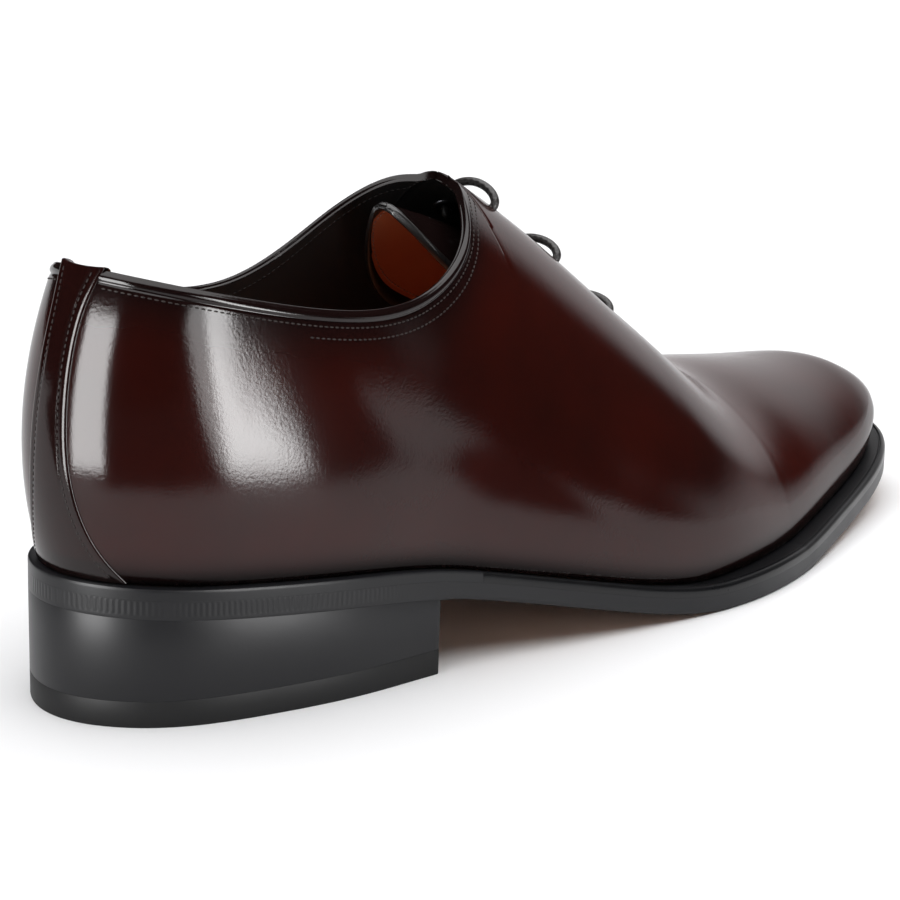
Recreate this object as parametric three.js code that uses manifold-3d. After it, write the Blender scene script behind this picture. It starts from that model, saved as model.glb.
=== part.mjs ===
// A man's oxford shoe for the right foot, of the kind cut from one whole piece of calf.
// The upper is one hollow shell over the last, closed over the instep by a slit with three
// bars of round waxed lace, and a narrow strip covers its back seam. Below it lie insole,
// welt, seat rand, outsole, heel block and top piece.
// Lengths are in millimetres, +Z is up, +Y points to the toe and +X to the little toe's side.

import * as THREE from "three";
import Module from "manifold-3d";
import { mergeVertices } from "three/addons/utils/BufferGeometryUtils.js";

const wasm = await Module();
wasm.setup();

// Driving sizes

const LENGTH = 300;
const BALL_WIDTH = 100;
const INSTEP_HEIGHT = 108;
const BACK_HEIGHT = 98.8;
const HEEL_HEIGHT = 25;
const TOE_SPRING = 10.2;

const UPPER_WALL = 2;
const OUTSOLE_THICKNESS = 4;
const WELT_THICKNESS = 2.6;
const WELT_REACH = 5.6;
const INSOLE_THICKNESS = 3;
const TOP_PIECE_THICKNESS = 6;

// Clearances, and the sizes of the small pieces

const GAP = 0.3;
const EDGE_BEVEL = 0.7;
const BREAST_AT = 81;
const BREAST_HOLLOW = 2;
const HEEL_TAPER = 0.2;
const RAND_END = 93;
const WELT_UNDERLAP = 7;

const BACK_BULGE = 5.1;
const BACK_LEAN = 5.4;
const TOE_BULGE = 3.6;

const COLLAR_FRONT_FROM = 81;
const THROAT_AT = 118;
const SLIT_END = 190;
const SLIT_WIDTH = 0.8;

const STRIP_THICKNESS = 1.1;
const STRIP_FROM = 0.012;
const STRIP_TO = 0.985;
const STRIP_REACH = 30;

const LACE_DIAMETER = 2.1;
const LACE_HOLE = 2.9;
const LACE_ARCH = 2;
const LACE_LEAD = 3.6;
const LACE_ASIDE = 3.6;
const EYELET_ROWS = [129.5, 154, 178];
const EYELET_FROM_SLIT = 7.6;
const EYELET_BORE = 3.2;
const EYELET_FLANGE = 6.8;
const EYELET_THICKNESS = 0.8;
const EYELET_BEVEL = 0.3;

const TONGUE_THICKNESS = 2;
const TONGUE_TIP = 103;
const TONGUE_END = 202;
const TONGUE_WIDTH = 54;
const TONGUE_DROOP = 8;
const TONGUE_CAUGHT_FROM = 182;
const TONGUE_CAUGHT_TO = 192;

// Sections of the last, from the back of the heel to the tip of the toe.
// at: place along the feather line, a share of its length.
// centre, ridge, foot, belly, shoulder: shares of half the ball width.
// swell: height of the belly, a share of the section's own height.
// crown: height of the ridge above the floor, a share of the instep height.
const LAST = [
  { at: 0.0, centre: 0.0, ridge: 0.0, foot: 0.0, belly: 0.0, shoulder: 0.0, swell: 0.33, crown: 1.296 },
  { at: 0.039, centre: 0.0, ridge: 0.0, foot: 0.4, belly: 0.53, shoulder: 0.25, swell: 0.33, crown: 1.324 },
  { at: 0.101, centre: 0.004, ridge: 0.0, foot: 0.566, belly: 0.686, shoulder: 0.37, swell: 0.33, crown: 1.333 },
  { at: 0.19, centre: 0.052, ridge: 0.004, foot: 0.652, belly: 0.796, shoulder: 0.42, swell: 0.34, crown: 1.287 },
  { at: 0.286, centre: 0.086, ridge: 0.012, foot: 0.684, belly: 0.812, shoulder: 0.43, swell: 0.34, crown: 1.155 },
  { at: 0.389, centre: 0.156, ridge: 0.02, foot: 0.758, belly: 0.898, shoulder: 0.408, swell: 0.35, crown: 0.997 },
  { at: 0.491, centre: 0.176, ridge: 0.016, foot: 0.844, belly: 0.968, shoulder: 0.458, swell: 0.37, crown: 0.823 },
  { at: 0.587, centre: 0.142, ridge: -0.016, foot: 0.902, belly: 1.016, shoulder: 0.576, swell: 0.4, crown: 0.63 },
  { at: 0.676, centre: 0.066, ridge: -0.08, foot: 0.898, belly: 0.988, shoulder: 0.6, swell: 0.43, crown: 0.462 },
  { at: 0.765, centre: -0.012, ridge: -0.115, foot: 0.828, belly: 0.916, shoulder: 0.58, swell: 0.48, crown: 0.396 },
  { at: 0.848, centre: -0.054, ridge: -0.125, foot: 0.71, belly: 0.786, shoulder: 0.52, swell: 0.51, crown: 0.364 },
  { at: 0.923, centre: -0.05, ridge: -0.11, foot: 0.534, belly: 0.622, shoulder: 0.43, swell: 0.55, crown: 0.342 },
  { at: 0.974, centre: -0.042, ridge: -0.062, foot: 0.315, belly: 0.4, shoulder: 0.265, swell: 0.55, crown: 0.306 },
  { at: 1.0, centre: -0.044, ridge: -0.048, foot: 0.0, belly: 0.0, shoulder: 0.0, swell: 0.55, crown: 0.16 },
];

// Under side of the outsole. at: share of the length. heel: height behind the ball, a share
// of the heel height. toe: height before the ball, a share of the toe spring.
const TREAD = [
  { at: 0.0, heel: 1.01, toe: 0 },
  { at: 0.133, heel: 0.888, toe: 0 },
  { at: 0.267, heel: 0.716, toe: 0 },
  { at: 0.333, heel: 0.548, toe: 0 },
  { at: 0.433, heel: 0.256, toe: 0 },
  { at: 0.533, heel: 0.02, toe: 0 },
  { at: 0.617, heel: 0, toe: 0 },
  { at: 0.683, heel: 0, toe: 0 },
  { at: 0.767, heel: 0, toe: 0.19 },
  { at: 0.867, heel: 0, toe: 0.48 },
  { at: 0.95, heel: 0, toe: 0.83 },
  { at: 1.0, heel: 0, toe: 1.0 },
];
const TREAD_FLAT_FROM = 0.567;
const TREAD_FLAT_TO = 0.69;

// How far the sole's edge stands out from the feather line, a share of the welt's reach.
const EDGE = [
  { at: 0.0, reach: 0.45 },
  { at: 0.167, reach: 0.39 },
  { at: 0.28, reach: 0.29 },
  { at: 0.367, reach: 0.25 },
  { at: 0.467, reach: 0.42 },
  { at: 0.6, reach: 0.97 },
  { at: 0.733, reach: 1.0 },
  { at: 0.867, reach: 0.94 },
  { at: 1.0, reach: 0.88 },
];

// The collar's edge in side view. at: share of the length. outer and inner: its height on the
// little toe's side and on the big toe's side, shares of the back height.
const COLLAR = [
  { at: 0.02, outer: 1.0, inner: 0.998 },
  { at: 0.1, outer: 0.934, inner: 0.912 },
  { at: 0.193, outer: 0.874, inner: 0.83 },
  { at: 0.26, outer: 0.867, inner: 0.828 },
  { at: 0.32, outer: 0.919, inner: 0.92 },
  { at: 0.36, outer: 0.998, inner: 1.026 },
  { at: 0.38, outer: 1.047, inner: 1.062 },
  { at: 0.393, outer: 1.063, inner: 1.066 },
];

// Half width of the back strip. up: share of the height from the seat to the collar.
// half: share of the ball width.
const STRIP = [
  { up: 0.0, half: 0.146 },
  { up: 0.12, half: 0.108 },
  { up: 0.24, half: 0.082 },
  { up: 0.38, half: 0.064 },
  { up: 0.55, half: 0.054 },
  { up: 0.75, half: 0.048 },
  { up: 0.9, half: 0.052 },
  { up: 1.0, half: 0.066 },
];

// Half width of the tongue. along: share of its length from the tip. half: share of its width.
const TONGUE = [
  { along: 0.0, half: 0.12 },
  { along: 0.04, half: 0.3 },
  { along: 0.1, half: 0.4 },
  { along: 0.22, half: 0.46 },
  { along: 0.6, half: 0.5 },
  { along: 1.0, half: 0.5 },
];

// How many steps each surface is divided into

const STATIONS = 42;
const ROWS = 12;
const SOLE_STATIONS = 44;
const HEEL_STATIONS = 18;
const WELT_STATIONS = 34;
const STRIP_ROWS = 10;
const STRIP_COLUMNS = 8;
const TONGUE_ROWS = 14;
const TONGUE_COLUMNS = 8;
const LACE_STEPS = 100;
const LACE_SIDES = 8;

// Curves through a table's rows

function naturalSpline(xs, ys) {
  const last = xs.length - 1;
  const bend = new Array(last + 1).fill(0);
  const helper = new Array(last + 1).fill(0);
  for (let i = 1; i < last; i++) {
    const share = (xs[i] - xs[i - 1]) / (xs[i + 1] - xs[i - 1]);
    const divisor = share * bend[i - 1] + 2;
    const slopeAfter = (ys[i + 1] - ys[i]) / (xs[i + 1] - xs[i]);
    const slopeBefore = (ys[i] - ys[i - 1]) / (xs[i] - xs[i - 1]);
    bend[i] = (share - 1) / divisor;
    const turn = (6 * (slopeAfter - slopeBefore)) / (xs[i + 1] - xs[i - 1]);
    helper[i] = (turn - share * helper[i - 1]) / divisor;
  }
  bend[last] = 0;
  for (let i = last - 1; i >= 0; i--) {
    bend[i] = bend[i] * bend[i + 1] + helper[i];
  }
  return (x) => {
    let i = 0;
    while (i < last - 1 && x > xs[i + 1]) {
      i++;
    }
    const width = xs[i + 1] - xs[i];
    const a = (xs[i + 1] - x) / width;
    const b = (x - xs[i]) / width;
    const curved = ((a ** 3 - a) * bend[i] + (b ** 3 - b) * bend[i + 1]) * (width ** 2 / 6);
    return a * ys[i] + b * ys[i + 1] + curved;
  };
}

function column(table, place, value, reach = (x) => x) {
  return naturalSpline(table.map((row) => reach(row[place])), table.map(value));
}

// A half width or height whose square is interpolated, so that the ends come out round
function roundColumn(table, place, value) {
  const squared = column(table, place, (row) => value(row) ** 2);
  return (x) => Math.sqrt(Math.max(0, squared(x)));
}

const clamp = THREE.MathUtils.clamp;
const lerp = THREE.MathUtils.lerp;

// The sole's side view

const heelPart = column(TREAD, "at", (row) => row.heel * HEEL_HEIGHT);
const toePart = column(TREAD, "at", (row) => row.toe * TOE_SPRING);

function treadHeight(y) {
  const at = y / LENGTH;
  if (at >= TREAD_FLAT_FROM && at <= TREAD_FLAT_TO) {
    return 0;
  }
  return Math.max(0, at < TREAD_FLAT_FROM ? heelPart(at) : toePart(at));
}

const EDGE_HEIGHT = OUTSOLE_THICKNESS + GAP + WELT_THICKNESS;
const outsoleTop = (y) => treadHeight(y) + OUTSOLE_THICKNESS;
const weltBottom = (y) => outsoleTop(y) + GAP;
const weltTop = (y) => treadHeight(y) + EDGE_HEIGHT;
const featherHeight = (y) => weltTop(y) + GAP;

// The last

const edgeShare = column(EDGE, "at", (row) => row.reach);
const edgeReach = (y) => edgeShare(clamp(y / LENGTH, 0, 1)) * WELT_REACH;
const FEATHER_BACK = edgeReach(0);
const FEATHER_FRONT = LENGTH - edgeReach(LENGTH);
const FEATHER_LENGTH = FEATHER_FRONT - FEATHER_BACK;
const HALF_BALL = BALL_WIDTH / 2;

const centreLine = column(LAST, "at", (row) => row.centre * HALF_BALL);
const ridgeLine = column(LAST, "at", (row) => row.ridge * HALF_BALL);
const swell = column(LAST, "at", (row) => row.swell);
const footWidth = roundColumn(LAST, "at", (row) => row.foot * HALF_BALL);
const bellyWidth = roundColumn(LAST, "at", (row) => row.belly * HALF_BALL);
const shoulderWidth = roundColumn(LAST, "at", (row) => row.shoulder * HALF_BALL);
const sectionHeight = roundColumn(LAST, "at", (row) => {
  const y = FEATHER_BACK + row.at * FEATHER_LENGTH;
  return row.at === 1 ? 0 : row.crown * INSTEP_HEIGHT - featherHeight(y);
});

const shareAlong = (y) => clamp((y - FEATHER_BACK) / FEATHER_LENGTH, 0, 1);
const SEAT_HEIGHT = featherHeight(FEATHER_BACK);
const BACK_REACH = 0.267 * LENGTH;
const TOE_REACH = 0.15 * LENGTH;
const TOE_BOX_HEIGHT = 0.17 * INSTEP_HEIGHT;

// The back seam swells out over the seat and leans in again towards the collar
function backShift(y, z) {
  const up = clamp((z - SEAT_HEIGHT) / (BACK_HEIGHT - SEAT_HEIGHT), 0, 1.3);
  const bulge = up < 1 ? -4 * BACK_BULGE * up * (1 - up) : 0;
  const fade = clamp(1 - (y - FEATHER_BACK) / BACK_REACH, 0, 1) ** 2;
  return (bulge + BACK_LEAN * up ** 2) * fade;
}

// The toe box stands a little forward of the feather line
function toeShift(y, above) {
  const fade = clamp((y - (FEATHER_FRONT - TOE_REACH)) / TOE_REACH, 0, 1) ** 2;
  return TOE_BULGE * Math.sin(Math.PI * clamp(above / TOE_BOX_HEIGHT, 0, 1)) * fade;
}

// A point of the last: y along the feather line, v from 0 at the feather to 1 at the ridge
function lastPoint(y, v, side) {
  const at = shareAlong(y);
  const low = 3 * v * (1 - v) ** 2;
  const high = 3 * v ** 2 * (1 - v);
  const width = (1 - v) ** 3 * footWidth(at) + low * bellyWidth(at) + high * shoulderWidth(at);
  const up = low * swell(at) + high + v ** 3;
  const above = sectionHeight(at) * up;
  const z = featherHeight(y) + above;
  const x = lerp(centreLine(at), ridgeLine(at), up) + side * width;
  return new THREE.Vector3(x, y + backShift(y, z) + toeShift(y, above), z);
}

function bisect(test) {
  let low = 0;
  let high = 1;
  for (let i = 0; i < 40; i++) {
    const middle = (low + high) / 2;
    if (test(middle)) {
      low = middle;
    } else {
      high = middle;
    }
  }
  return (low + high) / 2;
}

const collarEdge = {
  [1]: column(COLLAR, "at", (row) => row.outer * BACK_HEIGHT),
  [-1]: column(COLLAR, "at", (row) => row.inner * BACK_HEIGHT),
};

// How far up the section the upper reaches: the collar behind the throat, the ridge before it
function upperTop(y, side) {
  if (y >= THROAT_AT) {
    return 1;
  }
  const edge = collarEdge[y > FEATHER_BACK ? side : 1];
  return bisect((v) => {
    const point = lastPoint(y, v, side);
    return point.z < edge(point.y / LENGTH);
  });
}

// A point of the last at a distance from the ridge, and the outward normal there
function instepPoint(y, fromRidge, side, depth) {
  const middle = ridgeLine(shareAlong(y));
  const v = bisect((share) => Math.abs(lastPoint(y, share, side).x - middle) > fromRidge);
  const step = 0.5;
  const along = lastPoint(y + step, v, side).sub(lastPoint(y - step, v, side));
  const down = v > 0.98
    ? new THREE.Vector3(side, 0, 0)
    : lastPoint(y, v - 0.02, side).sub(lastPoint(y, v, side));
  const normal = new THREE.Vector3().crossVectors(down, along).multiplyScalar(side).normalize();
  return { point: lastPoint(y, v, side).addScaledVector(normal, -depth), normal };
}

// Places along the feather line, close together at both round ends

function stationsBetween(from, to, count, extra = []) {
  const turn = (y) => Math.acos(1 - 2 * shareAlong(y));
  const first = turn(from);
  const last = turn(to);
  const places = [];
  for (let i = 0; i <= count; i++) {
    const share = (1 - Math.cos(lerp(first, last, i / count))) / 2;
    places.push(FEATHER_BACK + share * FEATHER_LENGTH);
  }
  for (const y of extra) {
    const distances = places.map((place) => Math.abs(place - y));
    places[distances.indexOf(Math.min(...distances))] = y;
  }
  return places;
}

// The plan outline at the feather line, moved out by an offset along its own normal

function featherPoint(turn, side) {
  const past = turn < 0 || turn > Math.PI;
  const here = past ? -side : side;
  const share = (1 - Math.cos(turn)) / 2;
  const x = centreLine(share) + here * footWidth(share);
  return new THREE.Vector2(x, FEATHER_BACK + share * FEATHER_LENGTH);
}

function planPoint(y, side, offset) {
  const turn = Math.acos(1 - 2 * shareAlong(y));
  const step = 0.01;
  const along = featherPoint(turn + step, side).sub(featherPoint(turn - step, side)).normalize();
  const outward = new THREE.Vector2(along.y, -along.x).multiplyScalar(side);
  return featherPoint(turn, side).addScaledVector(outward, offset);
}

// Solids from grids of points

// A solid between two grids of points, with walls round its border where they are asked for
function shell(outer, inner, walls = {}) {
  const { firstRow = true, lastRow = true, lastColumn = () => true } = walls;
  const faces = [];
  const quad = (a, b, c, d) => faces.push([a, b, c], [a, c, d]);
  const rows = outer.length - 1;
  const columns = outer[0].length - 1;
  for (let r = 0; r < rows; r++) {
    for (let c = 0; c < columns; c++) {
      quad(outer[r][c], outer[r + 1][c], outer[r + 1][c + 1], outer[r][c + 1]);
      quad(inner[r][c], inner[r][c + 1], inner[r + 1][c + 1], inner[r + 1][c]);
    }
    quad(outer[r][0], inner[r][0], inner[r + 1][0], outer[r + 1][0]);
    if (lastColumn(r)) {
      quad(outer[r][columns], outer[r + 1][columns], inner[r + 1][columns], inner[r][columns]);
    }
  }
  for (let c = 0; c < columns; c++) {
    if (firstRow) {
      quad(outer[0][c], outer[0][c + 1], inner[0][c + 1], inner[0][c]);
    }
    if (lastRow) {
      quad(outer[rows][c], inner[rows][c], inner[rows][c + 1], outer[rows][c + 1]);
    }
  }
  return faces;
}

const turnedOver = (faces) => faces.map(([a, b, c]) => [a, c, b]);

function signedVolume(faces) {
  return faces.reduce((sum, [a, b, c]) => sum + a.dot(new THREE.Vector3().crossVectors(b, c)) / 6, 0);
}

// Faces as one closed geometry: shared corners merged, collapsed triangles left out
function closedGeometry(faces) {
  const outward = signedVolume(faces) < 0 ? turnedOver(faces) : faces;
  const loose = new THREE.BufferGeometry();
  const positions = outward.flatMap((face) => face.flatMap((point) => point.toArray()));
  loose.setAttribute("position", new THREE.Float32BufferAttribute(positions, 3));
  const merged = mergeVertices(loose, 1e-4);
  const index = [];
  for (let i = 0; i < merged.index.count; i += 3) {
    const [a, b, c] = [0, 1, 2].map((k) => merged.index.getX(i + k));
    if (a !== b && b !== c && c !== a) {
      index.push(a, b, c);
    }
  }
  merged.setIndex(index);
  return merged;
}

function bareGeometry(geometry) {
  const bare = geometry.clone();
  bare.deleteAttribute("normal");
  bare.deleteAttribute("uv");
  return mergeVertices(bare, 1e-4);
}

function toManifold(geometry) {
  return new wasm.Manifold(new wasm.Mesh({
    numProp: 3,
    vertProperties: new Float32Array(geometry.attributes.position.array),
    triVerts: new Uint32Array(geometry.index.array),
  }));
}

function fromManifold(solid) {
  const { vertProperties, triVerts } = solid.getMesh();
  const geometry = new THREE.BufferGeometry();
  geometry.setAttribute("position", new THREE.BufferAttribute(new Float32Array(vertProperties), 3));
  geometry.setIndex(new THREE.BufferAttribute(new Uint32Array(triVerts), 1));
  return geometry;
}

function pierced(geometry, drills) {
  const whole = toManifold(geometry);
  return fromManifold(drills.reduce((solid, drill) => solid.subtract(toManifold(drill)), whole));
}

function material(color, roughness, metalness = 0) {
  return new THREE.MeshStandardMaterial({ color, roughness, metalness });
}

const CALF = material(0x2a0f0b, 0.22);
const LINING = material(0x6b3419, 0.6);
const SOLE_LEATHER = material(0x1c1b1d, 0.4);
const RUBBER = material(0x1f1f21, 0.6);
const WAXED_CORD = material(0x0e0c0c, 0.5);
const BLACKENED_METAL = material(0x2a2a2c, 0.35, 0.9);

const shoe = new THREE.Group();

function addPiece(name, geometry, finish) {
  const mesh = new THREE.Mesh(geometry, finish);
  mesh.name = name;
  geometry.computeVertexNormals();
  shoe.add(mesh);
}

// Outsole, insole and heel are plates: a top and an under side with bevelled edges, each row
// running from the little toe's side to the big toe's side.

function plateRow(y, offset, across, zOuter, zFlat, bevel) {
  const left = planPoint(y, 1, offset);
  const right = planPoint(y, -1, offset);
  const leftFlat = planPoint(y, 1, offset - bevel);
  const rightFlat = planPoint(y, -1, offset - bevel);
  const row = [new THREE.Vector3(left.x, left.y, zOuter(left.y))];
  for (let i = 0; i <= across; i++) {
    const point = leftFlat.clone().lerp(rightFlat, i / across);
    row.push(new THREE.Vector3(point.x, point.y, zFlat(point.y)));
  }
  row.push(new THREE.Vector3(right.x, right.y, zOuter(right.y)));
  return row;
}

function plate(stations, shape) {
  const { top, bottom, topOffset, bottomOffset, bevel, across = 1 } = shape;
  const underTop = (at) => top(at) - bevel;
  const overBottom = (at) => bottom(at) + bevel;
  return {
    upperRows: stations.map((y) => plateRow(y, topOffset(y), across, underTop, top, bevel)),
    lowerRows: stations.map((y) => plateRow(y, bottomOffset(y), across, overBottom, bottom, bevel)),
  };
}

function wholePlate(shape) {
  const { upperRows, lowerRows } = plate(stationsBetween(FEATHER_BACK, FEATHER_FRONT, SOLE_STATIONS), shape);
  return closedGeometry(shell(upperRows, lowerRows, { firstRow: false, lastRow: false }));
}

function addOutsole() {
  const geometry = wholePlate({
    top: outsoleTop,
    bottom: treadHeight,
    topOffset: edgeReach,
    bottomOffset: edgeReach,
    bevel: EDGE_BEVEL,
  });
  addPiece("outsole", geometry, SOLE_LEATHER);
}

function addInsole() {
  const inside = () => -(UPPER_WALL + 2 * GAP);
  const geometry = wholePlate({
    top: (y) => featherHeight(y) + INSOLE_THICKNESS,
    bottom: featherHeight,
    topOffset: inside,
    bottomOffset: inside,
    bevel: EDGE_BEVEL / 2,
  });
  addPiece("insole", geometry, LINING);
}

// The heel block and its top piece end in a breast that is a little hollow

function hollowBreast(row) {
  const last = row.length - 1;
  row.forEach((point, i) => {
    const across = clamp((i - 1) / (last - 2), 0, 1);
    point.y -= BREAST_HOLLOW * 4 * across * (1 - across);
  });
}

function heelPiece(shape) {
  const stations = stationsBetween(FEATHER_BACK, BREAST_AT, HEEL_STATIONS);
  const cut = { ...shape, across: 4, bevel: EDGE_BEVEL / 2 };
  const { upperRows, lowerRows } = plate(stations, cut);
  hollowBreast(upperRows.at(-1));
  hollowBreast(lowerRows.at(-1));
  return closedGeometry(shell(upperRows, lowerRows, { firstRow: false }));
}

function heelTaper(z) {
  return (y) => edgeReach(y) - HEEL_TAPER * (1 - z / HEEL_HEIGHT);
}

function addHeel() {
  const block = heelPiece({
    top: (y) => treadHeight(y) - GAP,
    bottom: () => TOP_PIECE_THICKNESS,
    topOffset: heelTaper(HEEL_HEIGHT),
    bottomOffset: heelTaper(TOP_PIECE_THICKNESS),
  });
  const topPiece = heelPiece({
    top: () => TOP_PIECE_THICKNESS,
    bottom: () => 0,
    topOffset: heelTaper(TOP_PIECE_THICKNESS),
    bottomOffset: heelTaper(0),
  });
  addPiece("heel_block", block, SOLE_LEATHER);
  addPiece("top_piece", topPiece, RUBBER);
}

// Welt and seat rand are strips along the edge, with their inner margin under the upper

function stripSection(y, side) {
  const reach = edgeReach(y);
  const corner = (offset, height) => {
    const plan = planPoint(y, side, offset);
    return new THREE.Vector3(plan.x, plan.y, height(plan.y));
  };
  const lifted = (at) => weltTop(at) - EDGE_BEVEL;
  const row = (outermost, rest) => [
    corner(reach, outermost),
    corner(reach - EDGE_BEVEL, rest),
    corner(-WELT_UNDERLAP, rest),
  ];
  return { upper: row(lifted, weltTop), lower: row(weltBottom, weltBottom) };
}

function edgeStrip(stations) {
  const oneSide = stations.map((y) => stripSection(y, 1));
  const otherSide = stations.slice(0, -1).reverse().map((y) => stripSection(y, -1));
  const sections = [...oneSide, ...otherSide];
  return closedGeometry(shell(sections.map((s) => s.upper), sections.map((s) => s.lower)));
}

function addWeltAndRand() {
  const forward = stationsBetween(RAND_END + GAP, FEATHER_FRONT, WELT_STATIONS);
  const backward = stationsBetween(FEATHER_BACK, RAND_END, HEEL_STATIONS).reverse();
  addPiece("welt", edgeStrip(forward), SOLE_LEATHER);
  addPiece("seat_rand", edgeStrip(backward), SOLE_LEATHER);
}

// The upper: two half shells over the last that share their points at the back seam, along
// the ridge before the slit's end, and at the tip of the toe.

function upperStations() {
  const even = stationsBetween(FEATHER_BACK, FEATHER_FRONT, STATIONS, [THROAT_AT, SLIT_END]);
  return even.flatMap((y, i) => {
    const next = even[i + 1];
    return y >= COLLAR_FRONT_FROM && next <= THROAT_AT ? [y, (y + next) / 2] : [y];
  });
}

function slitHalf(y) {
  return y >= THROAT_AT && y < SLIT_END ? SLIT_WIDTH / 2 : 0;
}

function outerGrid(stations, side) {
  return stations.map((y) => {
    const top = upperTop(y, side);
    return Array.from({ length: ROWS + 1 }, (_, j) => {
      const point = lastPoint(y, (top * j) / ROWS, side);
      if (j === ROWS) {
        point.x += side * slitHalf(y);
      }
      return point;
    });
  });
}

// The same points moved inwards by the wall, with the under edge kept level
function innerGrid(grids, stations, side) {
  const tip = stations.length - 1;
  const at = (i, j) => {
    let [row, rank, hand] = [i, j, side];
    if (row < 0) {
      [row, hand] = [-row, -hand];
    }
    if (rank > ROWS) {
      const closed = stations[Math.min(row, tip)] >= SLIT_END;
      [rank, hand] = closed ? [2 * ROWS - rank, -hand] : [ROWS, hand];
    }
    return grids[hand][Math.min(row, tip)][Math.max(rank, 0)];
  };
  return grids[side].map((rowPoints, i) => rowPoints.map((point, j) => {
    if (i === tip) {
      return point.clone().setY(point.y - UPPER_WALL);
    }
    const along = at(i + 1, j).clone().sub(at(i - 1, j));
    const up = at(i, j + 1).clone().sub(at(i, j - 1));
    const normal = new THREE.Vector3().crossVectors(along, up).multiplyScalar(side);
    if (j === 0) {
      normal.z = 0;
    }
    return point.clone().addScaledVector(normal.normalize(), -UPPER_WALL);
  }));
}

function eyeletPlaces() {
  return [1, -1].flatMap((side) => EYELET_ROWS.map((y, i) => ({ side, y, number: i + 1 })));
}

function laceHoleDrill({ side, y }) {
  const { point, normal } = instepPoint(y, EYELET_FROM_SLIT, side, UPPER_WALL / 2);
  const drill = new THREE.CylinderGeometry(LACE_HOLE / 2, LACE_HOLE / 2, 4 * UPPER_WALL, 14);
  drill.applyQuaternion(new THREE.Quaternion().setFromUnitVectors(new THREE.Vector3(0, 1, 0), normal));
  drill.translate(point.x, point.y, point.z);
  return bareGeometry(drill);
}

function addUpper() {
  const stations = upperStations();
  const outer = { [1]: outerGrid(stations, 1), [-1]: outerGrid(stations, -1) };
  const halves = [1, -1].map((side) => {
    const inner = innerGrid(outer, stations, side);
    const edged = (r) => stations[r] < SLIT_END;
    const faces = shell(outer[side], inner, { firstRow: false, lastRow: false, lastColumn: edged });
    return side > 0 ? faces : turnedOver(faces);
  });
  const shellGeometry = closedGeometry(halves.flat());
  addPiece("upper", pierced(shellGeometry, eyeletPlaces().map(laceHoleDrill)), CALF);
}

// The back strip lies on the upper's own surface, from the seat to the collar

const stripHalf = column(STRIP, "up", (row) => row.half * BALL_WIDTH);

function backPoint(up, offset, lift) {
  const side = offset < 0 ? -1 : 1;
  const v = up * upperTop(FEATHER_BACK, 1);
  const reached = bisect((share) => {
    const y = FEATHER_BACK + share * STRIP_REACH;
    return Math.abs(lastPoint(y, v, side).x) < Math.abs(offset);
  });
  const y = offset === 0 ? FEATHER_BACK : FEATHER_BACK + reached * STRIP_REACH;
  const point = lastPoint(y, v, side);
  const rise = lastPoint(y, v + 0.01, side).sub(lastPoint(y, Math.max(0, v - 0.01), side));
  const before = lastPoint(Math.max(FEATHER_BACK, y - 0.05), v, side);
  const after = lastPoint(y + 0.05, v, side);
  const sideways = offset === 0 ? new THREE.Vector3(1, 0, 0) : after.sub(before).multiplyScalar(side);
  const normal = new THREE.Vector3().crossVectors(sideways, rise).normalize();
  return point.addScaledVector(normal, lift);
}

function addBackStrip() {
  const grid = (lift) => Array.from({ length: STRIP_ROWS + 1 }, (_, r) => {
    const up = lerp(STRIP_FROM, STRIP_TO, r / STRIP_ROWS);
    return Array.from({ length: STRIP_COLUMNS + 1 }, (__, c) => {
      const across = (2 * c) / STRIP_COLUMNS - 1;
      return backPoint(up, across * stripHalf(up), lift);
    });
  });
  addPiece("back_strip", closedGeometry(shell(grid(GAP + STRIP_THICKNESS), grid(GAP))), CALF);
}

// The tongue hangs under the facings, below the runs of the lace, and is caught under the
// vamp before the slit's end. Its tip leans down into the collar.

const LACE_DEPTH = UPPER_WALL + EYELET_THICKNESS + LACE_DIAMETER / 2 + 4 * GAP;
const TONGUE_DEPTH = LACE_DEPTH + LACE_DIAMETER / 2 + GAP;
const tongueHalf = roundColumn(TONGUE, "along", (row) => row.half * TONGUE_WIDTH);

function tonguePoint(y, across, depth) {
  const half = tongueHalf((y - TONGUE_TIP) / (TONGUE_END - TONGUE_TIP));
  const span = TONGUE_CAUGHT_TO - TONGUE_CAUGHT_FROM;
  const caught = clamp((y - TONGUE_CAUGHT_FROM) / span, 0, 1);
  const below = lerp(TONGUE_DEPTH, UPPER_WALL + 1.4 * GAP, caught) + depth;
  const side = across < 0 ? -1 : 1;
  const { point } = instepPoint(y, Math.abs(across) * half, side, below);
  const leaned = clamp((EYELET_ROWS[1] - y) / (EYELET_ROWS[1] - TONGUE_TIP), 0, 1);
  point.z -= TONGUE_DROOP * leaned ** 1.6;
  return point;
}

function addTongue() {
  const grid = (depth) => Array.from({ length: TONGUE_ROWS + 1 }, (_, r) => {
    const share = (r / TONGUE_ROWS) ** 1.4;
    const y = lerp(TONGUE_TIP, TONGUE_END, share);
    return Array.from({ length: TONGUE_COLUMNS + 1 }, (__, c) => {
      const across = (2 * c) / TONGUE_COLUMNS - 1;
      return tonguePoint(y, across, depth);
    });
  });
  addPiece("tongue", closedGeometry(shell(grid(0), grid(TONGUE_THICKNESS))), LINING);
}

// Blind eyelets: flat rings against the inside of the facings

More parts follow.
